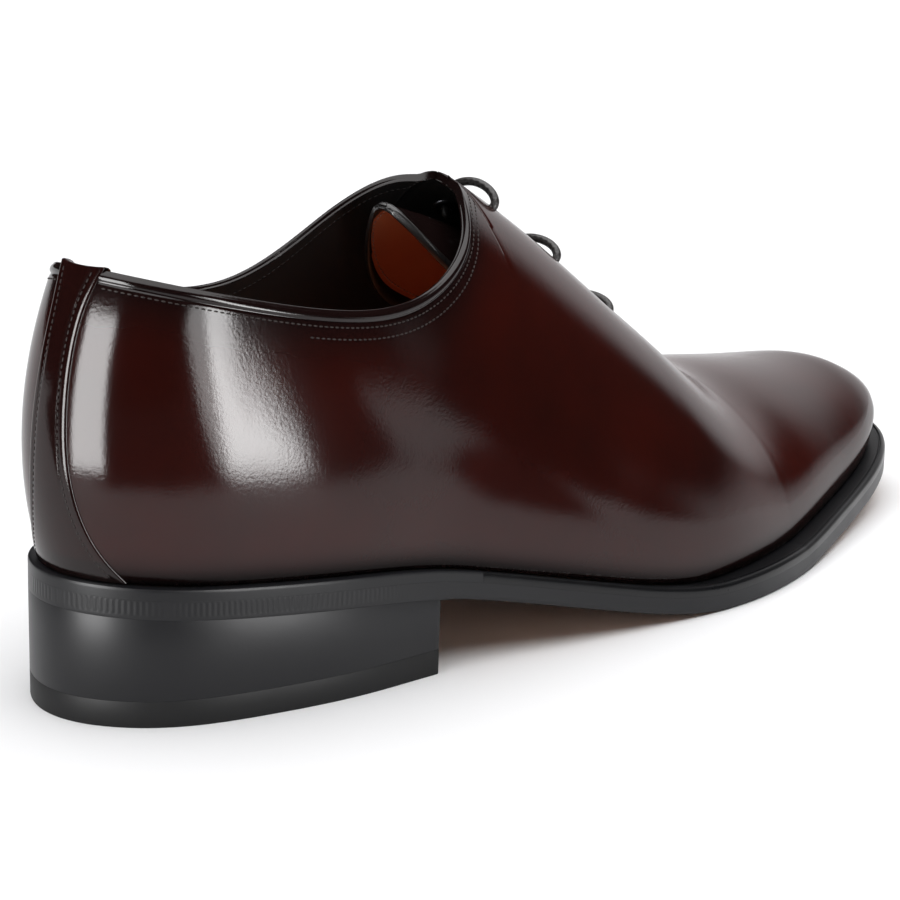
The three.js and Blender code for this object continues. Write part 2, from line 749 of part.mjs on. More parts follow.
function addEyelet({ side, y, number }) {
  const { point, normal } = instepPoint(y, EYELET_FROM_SLIT, side, UPPER_WALL + 2.2 * GAP);
  const profile = [
    new THREE.Vector2(EYELET_BORE / 2, 0),
    new THREE.Vector2(EYELET_BORE / 2, -EYELET_THICKNESS),
    new THREE.Vector2(EYELET_FLANGE / 2 - EYELET_BEVEL, -EYELET_THICKNESS),
    new THREE.Vector2(EYELET_FLANGE / 2, 0),
    new THREE.Vector2(EYELET_BORE / 2, 0),
  ];
  const ring = bareGeometry(new THREE.LatheGeometry(profile, 12));
  ring.applyQuaternion(new THREE.Quaternion().setFromUnitVectors(new THREE.Vector3(0, 1, 0), normal));
  ring.translate(point.x, point.y, point.z);
  addPiece(`eyelet_${side > 0 ? "outer" : "inner"}_${number}`, ring, BLACKENED_METAL);
}

// The lace: three bars over the slit, joined by runs under the facings. Both ends stop
// inside, beside the top eyelets.

function lacePath() {
  const [top, middle, bottom] = EYELET_ROWS;
  const points = [];
  const add = (y, fromSlit, side, depth) => points.push(instepPoint(y, fromSlit, side, depth).point);
  const hole = (y, side, outwards) => {
    const depths = [LACE_DEPTH - 1, UPPER_WALL / 2, -LACE_DIAMETER];
    for (const depth of outwards ? depths : depths.reverse()) {
      add(y, EYELET_FROM_SLIT, side, depth);
    }
  };
  const bar = (y, from) => {
    hole(y, from, true);
    add(y, EYELET_FROM_SLIT / 2, from, -LACE_ARCH);
    add(y, 0, from, -LACE_ARCH - LACE_DIAMETER / 2);
    add(y, EYELET_FROM_SLIT / 2, -from, -LACE_ARCH);
    hole(y, -from, false);
  };
  const run = (y, besideHoles, side) => add(y, EYELET_FROM_SLIT + besideHoles, side, LACE_DEPTH);
  const topGap = lerp(top, middle, 0.5);
  const bottomGap = lerp(middle, bottom, 0.5);
  run(top + 3 * LACE_LEAD, 0, 1);
  run(top + LACE_LEAD, 0, 1);
  bar(top, 1);
  run(top + LACE_LEAD, 0.2 * LACE_ASIDE, -1);
  run(topGap, 0.7 * LACE_ASIDE, -1);
  run(middle, LACE_ASIDE, -1);
  run(bottomGap, 0.8 * LACE_ASIDE, -1);
  run(bottom - LACE_LEAD, 0.3 * LACE_ASIDE, -1);
  bar(bottom, -1);
  run(bottom - LACE_LEAD, 0, 1);
  run(bottomGap, 0, 1);
  run(middle + LACE_LEAD, 0, 1);
  bar(middle, 1);
  run(middle - LACE_LEAD, -0.2 * LACE_ASIDE, -1);
  run(topGap, -0.6 * LACE_ASIDE, -1);
  run(top + 1.5 * LACE_LEAD, -0.9 * LACE_ASIDE, -1);
  return new THREE.CatmullRomCurve3(points, false, "centripetal");
}

function addLace() {
  const radius = LACE_DIAMETER / 2;
  const section = new THREE.Shape(Array.from({ length: LACE_SIDES }, (_, i) => {
    const angle = (2 * Math.PI * i) / LACE_SIDES;
    return new THREE.Vector2(radius * Math.cos(angle), radius * Math.sin(angle));
  }));
  const sweep = { steps: LACE_STEPS, extrudePath: lacePath(), bevelEnabled: false };
  const tube = new THREE.ExtrudeGeometry(section, sweep);
  addPiece("lace", bareGeometry(tube), WAXED_CORD);
}

addOutsole();
addWeltAndRand();
addHeel();
addInsole();
addUpper();
addBackStrip();
addTongue();
eyeletPlaces().forEach(addEyelet);
addLace();

// The origin is at the middle of the shoe's plan, on the floor
const box = new THREE.Box3().setFromObject(shoe);
shoe.position.set(-(box.min.x + box.max.x) / 2, -(box.min.y + box.max.y) / 2, 0);

export default shoe;
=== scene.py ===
import math

import bpy
import numpy as np
from mathutils import Matrix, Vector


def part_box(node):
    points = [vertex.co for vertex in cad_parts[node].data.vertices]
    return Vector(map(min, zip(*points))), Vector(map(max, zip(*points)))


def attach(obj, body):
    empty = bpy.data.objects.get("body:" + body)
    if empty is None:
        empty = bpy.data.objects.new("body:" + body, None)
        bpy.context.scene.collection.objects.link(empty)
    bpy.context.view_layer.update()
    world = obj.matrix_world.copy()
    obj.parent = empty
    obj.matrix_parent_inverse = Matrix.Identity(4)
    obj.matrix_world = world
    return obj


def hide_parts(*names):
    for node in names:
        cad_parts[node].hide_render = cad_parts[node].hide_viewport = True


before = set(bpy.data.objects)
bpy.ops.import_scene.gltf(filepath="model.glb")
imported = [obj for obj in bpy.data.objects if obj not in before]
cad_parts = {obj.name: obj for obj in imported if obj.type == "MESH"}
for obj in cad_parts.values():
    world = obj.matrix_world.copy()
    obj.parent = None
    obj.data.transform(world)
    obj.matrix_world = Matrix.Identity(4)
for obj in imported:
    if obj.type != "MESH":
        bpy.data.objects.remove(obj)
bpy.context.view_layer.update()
bpy.ops.object.select_all(action="DESELECT")

MM = 0.001

# Camera. It stands beside the heel on the little toe's side, a little above the shoe, and looks
# along its length with a long lens, rolled slightly as in the photo.
CAMERA_AT = (0.4512, -0.5337, 0.2222)
CAMERA_TURN = math.radians(41.70)
CAMERA_DIP = math.radians(15.15)
CAMERA_ROLL = math.radians(1.55)
CAMERA_LENS = 115.9

camera = bpy.data.objects.new("camera", bpy.data.cameras.new("camera"))
bpy.context.collection.objects.link(camera)
camera.matrix_world = (
    Matrix.Translation(CAMERA_AT)
    @ Matrix.Rotation(CAMERA_TURN, 4, "Z")
    @ Matrix.Rotation(math.pi / 2 - CAMERA_DIP, 4, "X")
    @ Matrix.Rotation(CAMERA_ROLL, 4, "Z")
)
camera.data.lens = CAMERA_LENS
camera.data.clip_start = 0.01
bpy.context.scene.camera = camera

# Studio. A plain white floor under even light from above. Polished leather shows what stands
# round it, so there are soft boxes by the heel, a softly lit wall beyond the toe, and a dark cloth
# on the floor at the camera's side that only the polish sees.
FLOOR_SIZE = 14.0
FLOOR_COLOUR = (0.86, 0.86, 0.87, 1)
WALL_COLOUR = (1.0, 0.985, 1.0, 1)
ROOM_GLOW = 0.02
OVERHEAD_STRENGTH = 4.1
OVERHEAD_SPREAD = math.radians(85)
SOFT_BOXES = (
    # name, x and y of its middle, facing, lean, width, height, brightness
    ("box_quarter", 0.240, -0.082, 90, 14, 0.042, 0.165, 17.0),
    ("box_quarter_side", 0.242, -0.112, 90, 30, 0.052, 0.165, 6.0),
    ("box_back", 0.018, -0.330, 180, 0, 0.110, 0.165, 16.0),
)
GLOWS = (
    # azimuth, elevation, cosines where it starts and is full, height where it is full and ends
    (-22, 6, 0.866, 0.970, 0.9, 1.0, 0.95),
    (0, 0, 0.719, 0.829, 0.02, 0.16, 0.80),
)
DARK_CLOTH = (
    # corners on the floor, in metres
    (0.600, 0.370),
    (0.289, 0.137),
    (0.250, 0.058),
    (0.241, -0.017),
    (0.223, -0.062),
    (0.207, -0.098),
    (0.183, -0.159),
    (0.136, -0.229),
    (0.101, -0.255),
    (0.020, -0.295),
    (-0.120, -0.330),
    (-0.900, -0.900),
    (-6.000, -7.500),
    (7.500, -7.500),
    (7.500, 4.600),
)


def new_material(name, colour, roughness, coat=0.0, coat_roughness=0.05, shine=0.5):
    material = bpy.data.materials.new(name)
    material.use_nodes = True
    shader = material.node_tree.nodes["Principled BSDF"]
    shader.inputs["Base Color"].default_value = colour
    shader.inputs["Roughness"].default_value = roughness
    shader.inputs["Specular IOR Level"].default_value = shine
    shader.inputs["Coat Weight"].default_value = coat
    shader.inputs["Coat Roughness"].default_value = coat_roughness
    return material


def add_node(material, kind, **values):
    node = material.node_tree.nodes.new(kind)
    for key, value in values.items():
        name = key.replace("_", " ").title()
        if name in node.inputs:
            node.inputs[name].default_value = value
        else:
            setattr(node, key, value)
    return node


def join_nodes(material, *pairs):
    for start, end in pairs:
        material.node_tree.links.new(start, end)


def soft_box(name, x, y, azimuth, lean, width, height, brightness):
    """An upright lit panel standing on the floor, turned to the shoe from its azimuth. It gives
    the highlights; the even light from above does the rest."""
    light = bpy.data.lights.new(name, "AREA")
    light.shape = "RECTANGLE"
    light.size = width
    light.size_y = height
    light.energy = brightness * math.pi * width * height
    lamp = bpy.data.objects.new(name, light)
    bpy.context.collection.objects.link(lamp)
    lamp.matrix_world = (
        Matrix.Translation((x, y, height / 2 + 0.002))
        @ Matrix.Rotation(-math.radians(azimuth), 4, "Z")
        @ Matrix.Rotation(-math.pi / 2, 4, "X")
        @ Matrix.Rotation(math.radians(lean), 4, "Z")
    )
    lamp.visible_camera = False
    lamp.visible_diffuse = False


for box in SOFT_BOXES:
    soft_box(*box)

overhead = bpy.data.objects.new("overhead", bpy.data.lights.new("overhead", "SUN"))
bpy.context.collection.objects.link(overhead)
overhead.data.energy = OVERHEAD_STRENGTH
overhead.data.angle = OVERHEAD_SPREAD

room = bpy.data.worlds.new("room")
room.use_nodes = True
room.node_tree.nodes["Background"].inputs["Color"].default_value = WALL_COLOUR
room_way = room.node_tree.nodes.new("ShaderNodeTexCoord")
room_up = room.node_tree.nodes.new("ShaderNodeSeparateXYZ")
room.node_tree.links.new(room_way.outputs["Generated"], room_up.inputs[0])
room_sum = None
for azimuth, elevation, start, full, level, end, strength in GLOWS:
    towards = room.node_tree.nodes.new("ShaderNodeVectorMath")
    towards.operation = "DOT_PRODUCT"
    towards.inputs[1].default_value = (
        math.sin(math.radians(azimuth)) * math.cos(math.radians(elevation)),
        math.cos(math.radians(azimuth)) * math.cos(math.radians(elevation)),
        math.sin(math.radians(elevation)),
    )
    round_it = room.node_tree.nodes.new("ShaderNodeMapRange")
    round_it.interpolation_type = "SMOOTHSTEP"
    round_it.inputs["From Min"].default_value = start
    round_it.inputs["From Max"].default_value = full
    over_it = room.node_tree.nodes.new("ShaderNodeMapRange")
    over_it.interpolation_type = "SMOOTHSTEP"
    over_it.inputs["From Min"].default_value = level
    over_it.inputs["From Max"].default_value = end
    over_it.inputs["To Min"].default_value = strength
    over_it.inputs["To Max"].default_value = 0.0
    both = room.node_tree.nodes.new("ShaderNodeMath")
    both.operation = "MULTIPLY"
    added = room.node_tree.nodes.new("ShaderNodeMath")
    added.operation = "ADD" if room_sum is None else "MAXIMUM"
    added.inputs[0].default_value = ROOM_GLOW
    room.node_tree.links.new(room_way.outputs["Generated"], towards.inputs[0])
    room.node_tree.links.new(towards.outputs["Value"], round_it.inputs["Value"])
    room.node_tree.links.new(room_up.outputs["Z"], over_it.inputs["Value"])
    room.node_tree.links.new(round_it.outputs[0], both.inputs[0])
    room.node_tree.links.new(over_it.outputs[0], both.inputs[1])
    room.node_tree.links.new(both.outputs[0], added.inputs[1])
    if room_sum is not None:
        room.node_tree.links.new(room_sum, added.inputs[0])
    room_sum = added.outputs[0]
room.node_tree.links.new(room_sum, room.node_tree.nodes["Background"].inputs["Strength"])
bpy.context.scene.world = room
bpy.context.scene.view_settings.view_transform = "Standard"

bpy.ops.mesh.primitive_plane_add(size=FLOOR_SIZE, location=(0, 0, 0))
floor = bpy.context.active_object
floor.name = "floor"
floor.data.materials.append(new_material("floor_white", FLOOR_COLOUR, 0.9))

bpy.ops.mesh.primitive_circle_add(vertices=len(DARK_CLOTH), fill_type="NGON")
cloth = bpy.context.active_object
cloth.name = "dark_cloth"
for corner, (x, y) in zip(cloth.data.vertices, DARK_CLOTH):
    corner.co = (x, y, 0.001)
cloth.data.materials.append(new_material("cloth_black", (0.02, 0.02, 0.02, 1), 0.9))
cloth.visible_camera = False
cloth.visible_diffuse = False
cloth.visible_shadow = False

# The last. Every piece of leather follows its form, so its sections come before the pieces. They
# are worked out from the foot's length, ball width, instep and heel height, as in the source.
LENGTH = 300 * MM
BALL_WIDTH = 100 * MM
INSTEP_HEIGHT = 108 * MM
BACK_HEIGHT = 98.8 * MM
HEEL_HEIGHT = 25 * MM
TOE_SPRING = 10.2 * MM
OUTSOLE_THICKNESS = 4 * MM
WELT_THICKNESS = 2.6 * MM
WELT_REACH = 5.6 * MM
GAP = 0.3 * MM
UPPER_WALL = 2 * MM
BACK_BULGE = 5.1 * MM
BACK_LEAN = 5.4 * MM
BACK_REACH = 0.267 * LENGTH
TOE_BULGE = 3.6 * MM
TOE_REACH = 0.15 * LENGTH
TOE_BOX_HEIGHT = 0.17 * INSTEP_HEIGHT
THROAT_AT = 118 * MM
SLIT_END = 190 * MM
SLIT_WIDTH = 0.8 * MM

LAST_COLUMNS = ("at", "centre", "ridge", "foot", "belly", "shoulder", "swell", "crown")
LAST_ROWS = (
    (0.0, 0.0, 0.0, 0.0, 0.0, 0.0, 0.33, 1.296),
    (0.039, 0.0, 0.0, 0.4, 0.53, 0.25, 0.33, 1.324),
    (0.101, 0.004, 0.0, 0.566, 0.686, 0.37, 0.33, 1.333),
    (0.19, 0.052, 0.004, 0.652, 0.796, 0.42, 0.34, 1.287),
    (0.286, 0.086, 0.012, 0.684, 0.812, 0.43, 0.34, 1.155),
    (0.389, 0.156, 0.02, 0.758, 0.898, 0.408, 0.35, 0.997),
    (0.491, 0.176, 0.016, 0.844, 0.968, 0.458, 0.37, 0.823),
    (0.587, 0.142, -0.016, 0.902, 1.016, 0.576, 0.4, 0.63),
    (0.676, 0.066, -0.08, 0.898, 0.988, 0.6, 0.43, 0.462),
    (0.765, -0.012, -0.115, 0.828, 0.916, 0.58, 0.48, 0.396),
    (0.848, -0.054, -0.125, 0.71, 0.786, 0.52, 0.51, 0.364),
    (0.923, -0.05, -0.11, 0.534, 0.622, 0.43, 0.55, 0.342),
    (0.974, -0.042, -0.062, 0.315, 0.4, 0.265, 0.55, 0.306),
    (1.0, -0.044, -0.048, 0.0, 0.0, 0.0, 0.55, 0.16),
)
TREAD_COLUMNS = ("at", "heel", "toe")
TREAD_ROWS = (
    (0.0, 1.01, 0),
    (0.133, 0.888, 0),
    (0.267, 0.716, 0),
    (0.333, 0.548, 0),
    (0.433, 0.256, 0),
    (0.533, 0.02, 0),
    (0.617, 0, 0),
    (0.683, 0, 0),
    (0.767, 0, 0.19),
    (0.867, 0, 0.48),
    (0.95, 0, 0.83),
    (1.0, 0, 1.0),
)
TREAD_FLAT = (0.567, 0.69)
EDGE_COLUMNS = ("at", "reach")
EDGE_ROWS = (
    (0.0, 0.45),
    (0.167, 0.39),
    (0.28, 0.29),
    (0.367, 0.25),
    (0.467, 0.42),
    (0.6, 0.97),
    (0.733, 1.0),
    (0.867, 0.94),
    (1.0, 0.88),
)
COLLAR_COLUMNS = ("at", "outer", "inner")
COLLAR_ROWS = (
    (0.02, 1.0, 0.998),
    (0.1, 0.934, 0.912),
    (0.193, 0.874, 0.83),
    (0.26, 0.867, 0.828),
    (0.32, 0.919, 0.92),
    (0.36, 0.998, 1.026),
    (0.38, 1.047, 1.062),
    (0.393, 1.063, 1.066),
)


def table_of(columns, rows):
    return dict(zip(columns, np.array(rows, float).T))


def natural_spline(xs, ys):
    count = len(xs)
    steps = np.diff(xs)
    system = np.eye(count)
    for i in range(1, count - 1):
        system[i, i - 1 : i + 2] = steps[i - 1], 2 * (steps[i - 1] + steps[i]), steps[i]
    turns = np.zeros(count)
    turns[1:-1] = 6 * np.diff(np.diff(ys) / steps)
    bend = np.linalg.solve(system, turns)

    def curve(x):
        x = np.asarray(x, float)
        i = np.clip(np.searchsorted(xs, x) - 1, 0, count - 2)
        b = (x - xs[i]) / steps[i]
        a = 1 - b
        curved = ((a**3 - a) * bend[i] + (b**3 - b) * bend[i + 1]) * steps[i] ** 2 / 6
        return a * ys[i] + b * ys[i + 1] + curved

    return curve


def round_spline(xs, ys):
    squared = natural_spline(xs, ys**2)
    return lambda x: np.sqrt(np.maximum(0, squared(x)))


tread = table_of(TREAD_COLUMNS, TREAD_ROWS)
heel_part = natural_spline(tread["at"], tread["heel"] * HEEL_HEIGHT)
toe_part = natural_spline(tread["at"], tread["toe"] * TOE_SPRING)


def tread_height(y):
    at = np.asarray(y, float) / LENGTH
    flat = (at >= TREAD_FLAT[0]) & (at <= TREAD_FLAT[1])
    raised = np.where(at < TREAD_FLAT[0], heel_part(at), toe_part(at))
    return np.where(flat, 0, np.maximum(0, raised))


def welt_top(y):
    return tread_height(y) + OUTSOLE_THICKNESS + GAP + WELT_THICKNESS


def feather_height(y):
    return welt_top(y) + GAP


edge = table_of(EDGE_COLUMNS, EDGE_ROWS)
edge_share = natural_spline(edge["at"], edge["reach"])


def edge_reach(y):
    return edge_share(np.clip(np.asarray(y, float) / LENGTH, 0, 1)) * WELT_REACH


FEATHER_BACK = float(edge_reach(0))
FEATHER_FRONT = LENGTH - float(edge_reach(LENGTH))
FEATHER_LENGTH = FEATHER_FRONT - FEATHER_BACK
SEAT_HEIGHT = float(feather_height(FEATHER_BACK))

last = table_of(LAST_COLUMNS, LAST_ROWS)
centre_line = natural_spline(last["at"], last["centre"] * BALL_WIDTH / 2)
ridge_line = natural_spline(last["at"], last["ridge"] * BALL_WIDTH / 2)
swell = natural_spline(last["at"], last["swell"])
foot_width = round_spline(last["at"], last["foot"] * BALL_WIDTH / 2)
belly_width = round_spline(last["at"], last["belly"] * BALL_WIDTH / 2)
shoulder_width = round_spline(last["at"], last["shoulder"] * BALL_WIDTH / 2)
crown_above = last["crown"] * INSTEP_HEIGHT - feather_height(FEATHER_BACK + last["at"] * FEATHER_LENGTH)
crown_above[-1] = 0
section_height = round_spline(last["at"], crown_above)


def share_along(y):
    return np.clip((np.asarray(y, float) - FEATHER_BACK) / FEATHER_LENGTH, 0, 1)


def back_shift(y, z):
    up = np.clip((z - SEAT_HEIGHT) / (BACK_HEIGHT - SEAT_HEIGHT), 0, 1.3)
    bulge = np.where(up < 1, -4 * BACK_BULGE * up * (1 - up), 0)
    fade = np.clip(1 - (y - FEATHER_BACK) / BACK_REACH, 0, 1) ** 2
    return (bulge + BACK_LEAN * up**2) * fade


def toe_shift(y, above):
    fade = np.clip((y - (FEATHER_FRONT - TOE_REACH)) / TOE_REACH, 0, 1) ** 2
    return TOE_BULGE * np.sin(np.pi * np.clip(above / TOE_BOX_HEIGHT, 0, 1)) * fade


def last_point(y, v, side):
    y, v, side = np.broadcast_arrays(np.asarray(y, float), np.asarray(v, float), side)
    at = share_along(y)
    low = 3 * v * (1 - v) ** 2
    high = 3 * v**2 * (1 - v)
    width = (1 - v) ** 3 * foot_width(at) + low * belly_width(at) + high * shoulder_width(at)
    up = low * swell(at) + high + v**3
    above = section_height(at) * up
    z = feather_height(y) + above
    middle = centre_line(at) + (ridge_line(at) - centre_line(at)) * up
    return np.stack([middle + side * width, y + back_shift(y, z) + toe_shift(y, above), z], axis=-1)


def bisect(test, like):
    low = np.zeros_like(like)
    high = np.ones_like(like)
    for _ in range(36):
        middle = (low + high) / 2
        short = test(middle)
        low = np.where(short, middle, low)
        high = np.where(short, high, middle)
    return (low + high) / 2


collar = table_of(COLLAR_COLUMNS, COLLAR_ROWS)
collar_edge = {
    1: natural_spline(collar["at"], collar["outer"] * BACK_HEIGHT),
    -1: natural_spline(collar["at"], collar["inner"] * BACK_HEIGHT),
}


def upper_top(y, side):
    y = np.asarray(y, float)

    def below(v):
        point = last_point(y, v, side)
        at = point[..., 1] / LENGTH
        height = np.where(y > FEATHER_BACK, collar_edge[side](at), collar_edge[1](at))
        return point[..., 2] < height

    return np.where(y >= THROAT_AT, 1.0, bisect(below, y))


def unit(vectors):
    length = np.linalg.norm(vectors, axis=-1, keepdims=True)
    return vectors / np.maximum(length, 1e-12)


def instep_point(y, from_ridge, side, depth):
    y, from_ridge, side, depth = np.broadcast_arrays(np.asarray(y, float), from_ridge, side, depth)
    middle = ridge_line(share_along(y))
    v = bisect(lambda share: np.abs(last_point(y, share, side)[..., 0] - middle) > from_ridge, y)
    here = last_point(y, v, side)
    along = last_point(y + 0.5 * MM, v, side) - last_point(y - 0.5 * MM, v, side)
    lower = last_point(y, v - 0.02, side) - here
    level = np.stack([side, 0 * y, 0 * y], axis=-1)
    down = np.where((v > 0.98)[..., None], level, lower)
    normal = unit(np.cross(down, along) * side[..., None])
    return here - normal * depth[..., None], normal


def feather_point(turn, side):
    past = (turn < 0) | (turn > math.pi)
    here = np.where(past, -side, side)
    share = (1 - np.cos(turn)) / 2
    return np.stack([centre_line(share) + here * foot_width(share), FEATHER_BACK + share * FEATHER_LENGTH], -1)


def plan_point(y, side, offset):
    turn = np.arccos(1 - 2 * share_along(y))
    along = unit(feather_point(turn + 0.01, side) - feather_point(turn - 0.01, side))
    outward = np.stack([along[..., 1], -along[..., 0]], axis=-1) * side
    return feather_point(turn, side) + outward * np.asarray(offset)[..., None]


def stations_between(start, end, count, extra=()):
    first, final = (math.acos(1 - 2 * float(share_along(y))) for y in (start, end))
    places = FEATHER_BACK + (1 - np.cos(np.linspace(first, final, count + 1))) / 2 * FEATHER_LENGTH
    for y in extra:
        places[np.argmin(np.abs(places - y))] = y
    return places


# The source's frame has its origin at the middle of the shoe's box. Here the last starts at the
# heel's back, so what is laid on it is moved by the outsole's own place.
outline = stations_between(FEATHER_BACK, FEATHER_FRONT, 400)
outline_low = min(plan_point(outline, side, edge_reach(outline))[:, 0].min() for side in (1, -1))
ORIGIN = np.array([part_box("outsole")[0][0] - outline_low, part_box("outsole")[0][1], 0])


def laid_grid(name, points):
    """A grid of faces laid on rows of points, with its own UV map: u across, v along."""
    rows, columns = points.shape[:2]
    bpy.ops.mesh.primitive_grid_add(x_subdivisions=columns - 1, y_subdivisions=rows - 1, size=1)
    piece = bpy.context.active_object
    piece.name = name
    piece.data.name = name
    piece.data.vertices.foreach_set("co", (points + ORIGIN).ravel())
    piece.data.update()
    return piece


def joined(pieces, name):
    bpy.ops.object.select_all(action="DESELECT")
    for piece in pieces:
        piece.select_set(True)
    bpy.context.view_layer.objects.active = pieces[0]
    if len(pieces) > 1:
        bpy.ops.object.join()
    pieces[0].name = name
    pieces[0].data.name = name
    return pieces[0]


def edit(piece, *steps):
    """Runs edit-mode steps on the whole piece."""
    bpy.ops.object.select_all(action="DESELECT")
    piece.select_set(True)
    bpy.context.view_layer.objects.active = piece
    bpy.ops.object.mode_set(mode="EDIT")
    bpy.ops.mesh.select_all(action="SELECT")
    for step in steps:
        step()
    bpy.ops.object.mode_set(mode="OBJECT")


MERGE_WITHIN = 0.004 * MM


def close_up(piece):
    """Merges the corners that meet and turns the faces outwards."""
    edit(
        piece,
        lambda: bpy.ops.mesh.remove_doubles(threshold=MERGE_WITHIN),
        lambda: bpy.ops.mesh.normals_make_consistent(inside=False),
    )


def smooth(piece, angle=None):
    bpy.ops.object.select_all(action="DESELECT")
    piece.select_set(True)
    bpy.context.view_layer.objects.active = piece
    if angle is None:
        bpy.ops.object.shade_smooth()
    else:
        bpy.ops.object.shade_smooth_by_angle(angle=math.radians(angle))


def fitted(piece, slot, *nodes):
    """The piece belongs to the shoe's one body, and stands for the CAD nodes named."""
    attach(piece, "root")
    if nodes:
        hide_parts(*nodes)


# Lace. One round waxed cord of woven cotton, laced in bars through three pairs of holes. Both
# ends stop inside the shoe, beside the top eyelets.
LACE_DIAMETER = 2.1 * MM
LACE_ARCH = 3 * MM
LACE_LEAD = 3.6 * MM
LACE_ASIDE = 3.6 * MM
EYELET_ROWS = (129.5 * MM, 154 * MM, 178 * MM)
EYELET_FROM_SLIT = 7.6 * MM
EYELET_THICKNESS = 0.8 * MM
LACE_RINGS = 900
LACE_SIDES = 20
LACE_DEPTH = UPPER_WALL + EYELET_THICKNESS + LACE_DIAMETER / 2 + 4 * GAP


def lace_route():
    top, middle, bottom = EYELET_ROWS
    points = []

    def add(y, from_slit, side, depth):
        points.append(instep_point(y, from_slit, side, depth)[0])

    def hole(y, side, outwards):
        depths = [LACE_DEPTH - 1 * MM, UPPER_WALL / 2, -0.9 * MM]
        for depth in depths if outwards else depths[::-1]:
            add(y, EYELET_FROM_SLIT, side, depth)

    def bar(y, start):
        hole(y, start, True)
        add(y, 0.80 * EYELET_FROM_SLIT, start, -LACE_ARCH + 0.7 * MM)
        add(y, 0.42 * EYELET_FROM_SLIT, start, -LACE_ARCH - 0.1 * MM)
        add(y, 0, start, -LACE_ARCH - 0.3 * MM)
        add(y, 0.42 * EYELET_FROM_SLIT, -start, -LACE_ARCH - 0.1 * MM)
        add(y, 0.80 * EYELET_FROM_SLIT, -start, -LACE_ARCH + 0.7 * MM)
        hole(y, -start, False)

    def run(y, beside_holes, side):
        add(y, EYELET_FROM_SLIT + beside_holes, side, LACE_DEPTH)

    top_gap = (top + middle) / 2
    bottom_gap = (middle + bottom) / 2
    run(top + 3 * LACE_LEAD, 0, 1)
    run(top + LACE_LEAD, 0, 1)
    bar(top, 1)
    run(top + LACE_LEAD, 0.2 * LACE_ASIDE, -1)
    run(top_gap, 0.7 * LACE_ASIDE, -1)
    run(middle, LACE_ASIDE, -1)
    run(bottom_gap, 0.8 * LACE_ASIDE, -1)
    run(bottom - LACE_LEAD, 0.3 * LACE_ASIDE, -1)
    bar(bottom, -1)
    run(bottom - LACE_LEAD, 0, 1)
    run(bottom_gap, 0, 1)
    run(middle + LACE_LEAD, 0, 1)
    bar(middle, 1)
    run(middle - LACE_LEAD, -0.2 * LACE_ASIDE, -1)
    run(top_gap, -0.6 * LACE_ASIDE, -1)
    run(top + 1.5 * LACE_LEAD, -0.9 * LACE_ASIDE, -1)
    return np.array(points)


def smooth_route(points, count):
    steps = np.sqrt(np.linalg.norm(np.diff(points, axis=0), axis=1))
    knots = np.concatenate([[0], np.cumsum(steps)])
    curves = [natural_spline(knots, points[:, k]) for k in range(3)]
    places = np.linspace(0, knots[-1], count)
    return np.stack([curve(places) for curve in curves], axis=-1)


def tube(name, route, radius, sides):
    """A round tube on a route, its rings carried along without twist."""
    along = unit(np.gradient(route, axis=0))
    across = np.zeros_like(along)
    across[0] = unit(np.cross(along[0], (0.3, 0.2, 1.0)))
    for i in range(1, len(route)):
        carried = across[i - 1] - along[i] * np.dot(across[i - 1], along[i])
        across[i] = unit(carried)
    up = np.cross(along, across)
    turn = np.linspace(0, 2 * math.pi, sides + 1)
    radius = np.broadcast_to(radius, len(route))[:, None, None]
    ring = across[:, None] * np.cos(turn)[None, :, None] + up[:, None] * np.sin(turn)[None, :, None]
    return laid_grid(name, route[:, None] + ring * radius)


lace_line = smooth_route(lace_route(), LACE_RINGS)
lace_length = np.linalg.norm(np.diff(lace_line, axis=0), axis=1).sum()
lace_end = np.minimum(np.arange(LACE_RINGS), np.arange(LACE_RINGS)[::-1]) / 3
lace_radius = LACE_DIAMETER / 2 * np.sqrt(np.clip(1 - (1 - np.minimum(lace_end, 1)) ** 2, 0.01, 1))
lace = tube("lace_cord", lace_line, lace_radius, LACE_SIDES)
close_up(lace)
smooth(lace)

cord = new_material("waxed_cord", (0.012, 0.010, 0.010, 1), 0.42, coat=0.25, coat_roughness=0.3)
cord_uv = add_node(cord, "ShaderNodeTexCoord")
cord_weave = []
for slant in (1, -1):
    stretch = add_node(cord, "ShaderNodeMapping")
    stretch.inputs["Scale"].default_value = (8, slant * lace_length / (1.1 * MM), 1)
    bands = add_node(cord, "ShaderNodeTexWave", wave_profile="SIN")
    bands.bands_direction = "DIAGONAL"
    bands.inputs["Scale"].default_value = 0.314
    join_nodes(
        cord,
        (cord_uv.outputs["UV"], stretch.inputs["Vector"]),
        (stretch.outputs["Vector"], bands.inputs["Vector"]),
    )
    cord_weave.append(bands)
cord_cross = add_node(cord, "ShaderNodeMath", operation="MAXIMUM")
cord_bump = add_node(cord, "ShaderNodeBump", strength=0.8)
cord_bump.inputs["Distance"].default_value = 0.12 * MM
# The colour follows the weave's height, darker down in the grooves between strands: painted shade.
cord_groove_shade = add_node(cord, "ShaderNodeMix", data_type="RGBA")
cord_groove_shade.inputs[6].default_value = (0.006, 0.005, 0.005, 1)
cord_groove_shade.inputs[7].default_value = (0.030, 0.025, 0.024, 1)
cord_shader = cord.node_tree.nodes["Principled BSDF"]
join_nodes(
    cord,
    (cord_weave[0].outputs["Fac"], cord_cross.inputs[0]),
    (cord_weave[1].outputs["Fac"], cord_cross.inputs[1]),
    (cord_cross.outputs[0], cord_bump.inputs["Height"]),
    (cord_cross.outputs[0], cord_groove_shade.inputs[0]),
    (cord_groove_shade.outputs[2], cord_shader.inputs["Base Color"]),
    (cord_bump.outputs["Normal"], cord_shader.inputs["Normal"]),
)
lace.data.materials.append(cord)
fitted(lace, "waxed_cord", "lace")
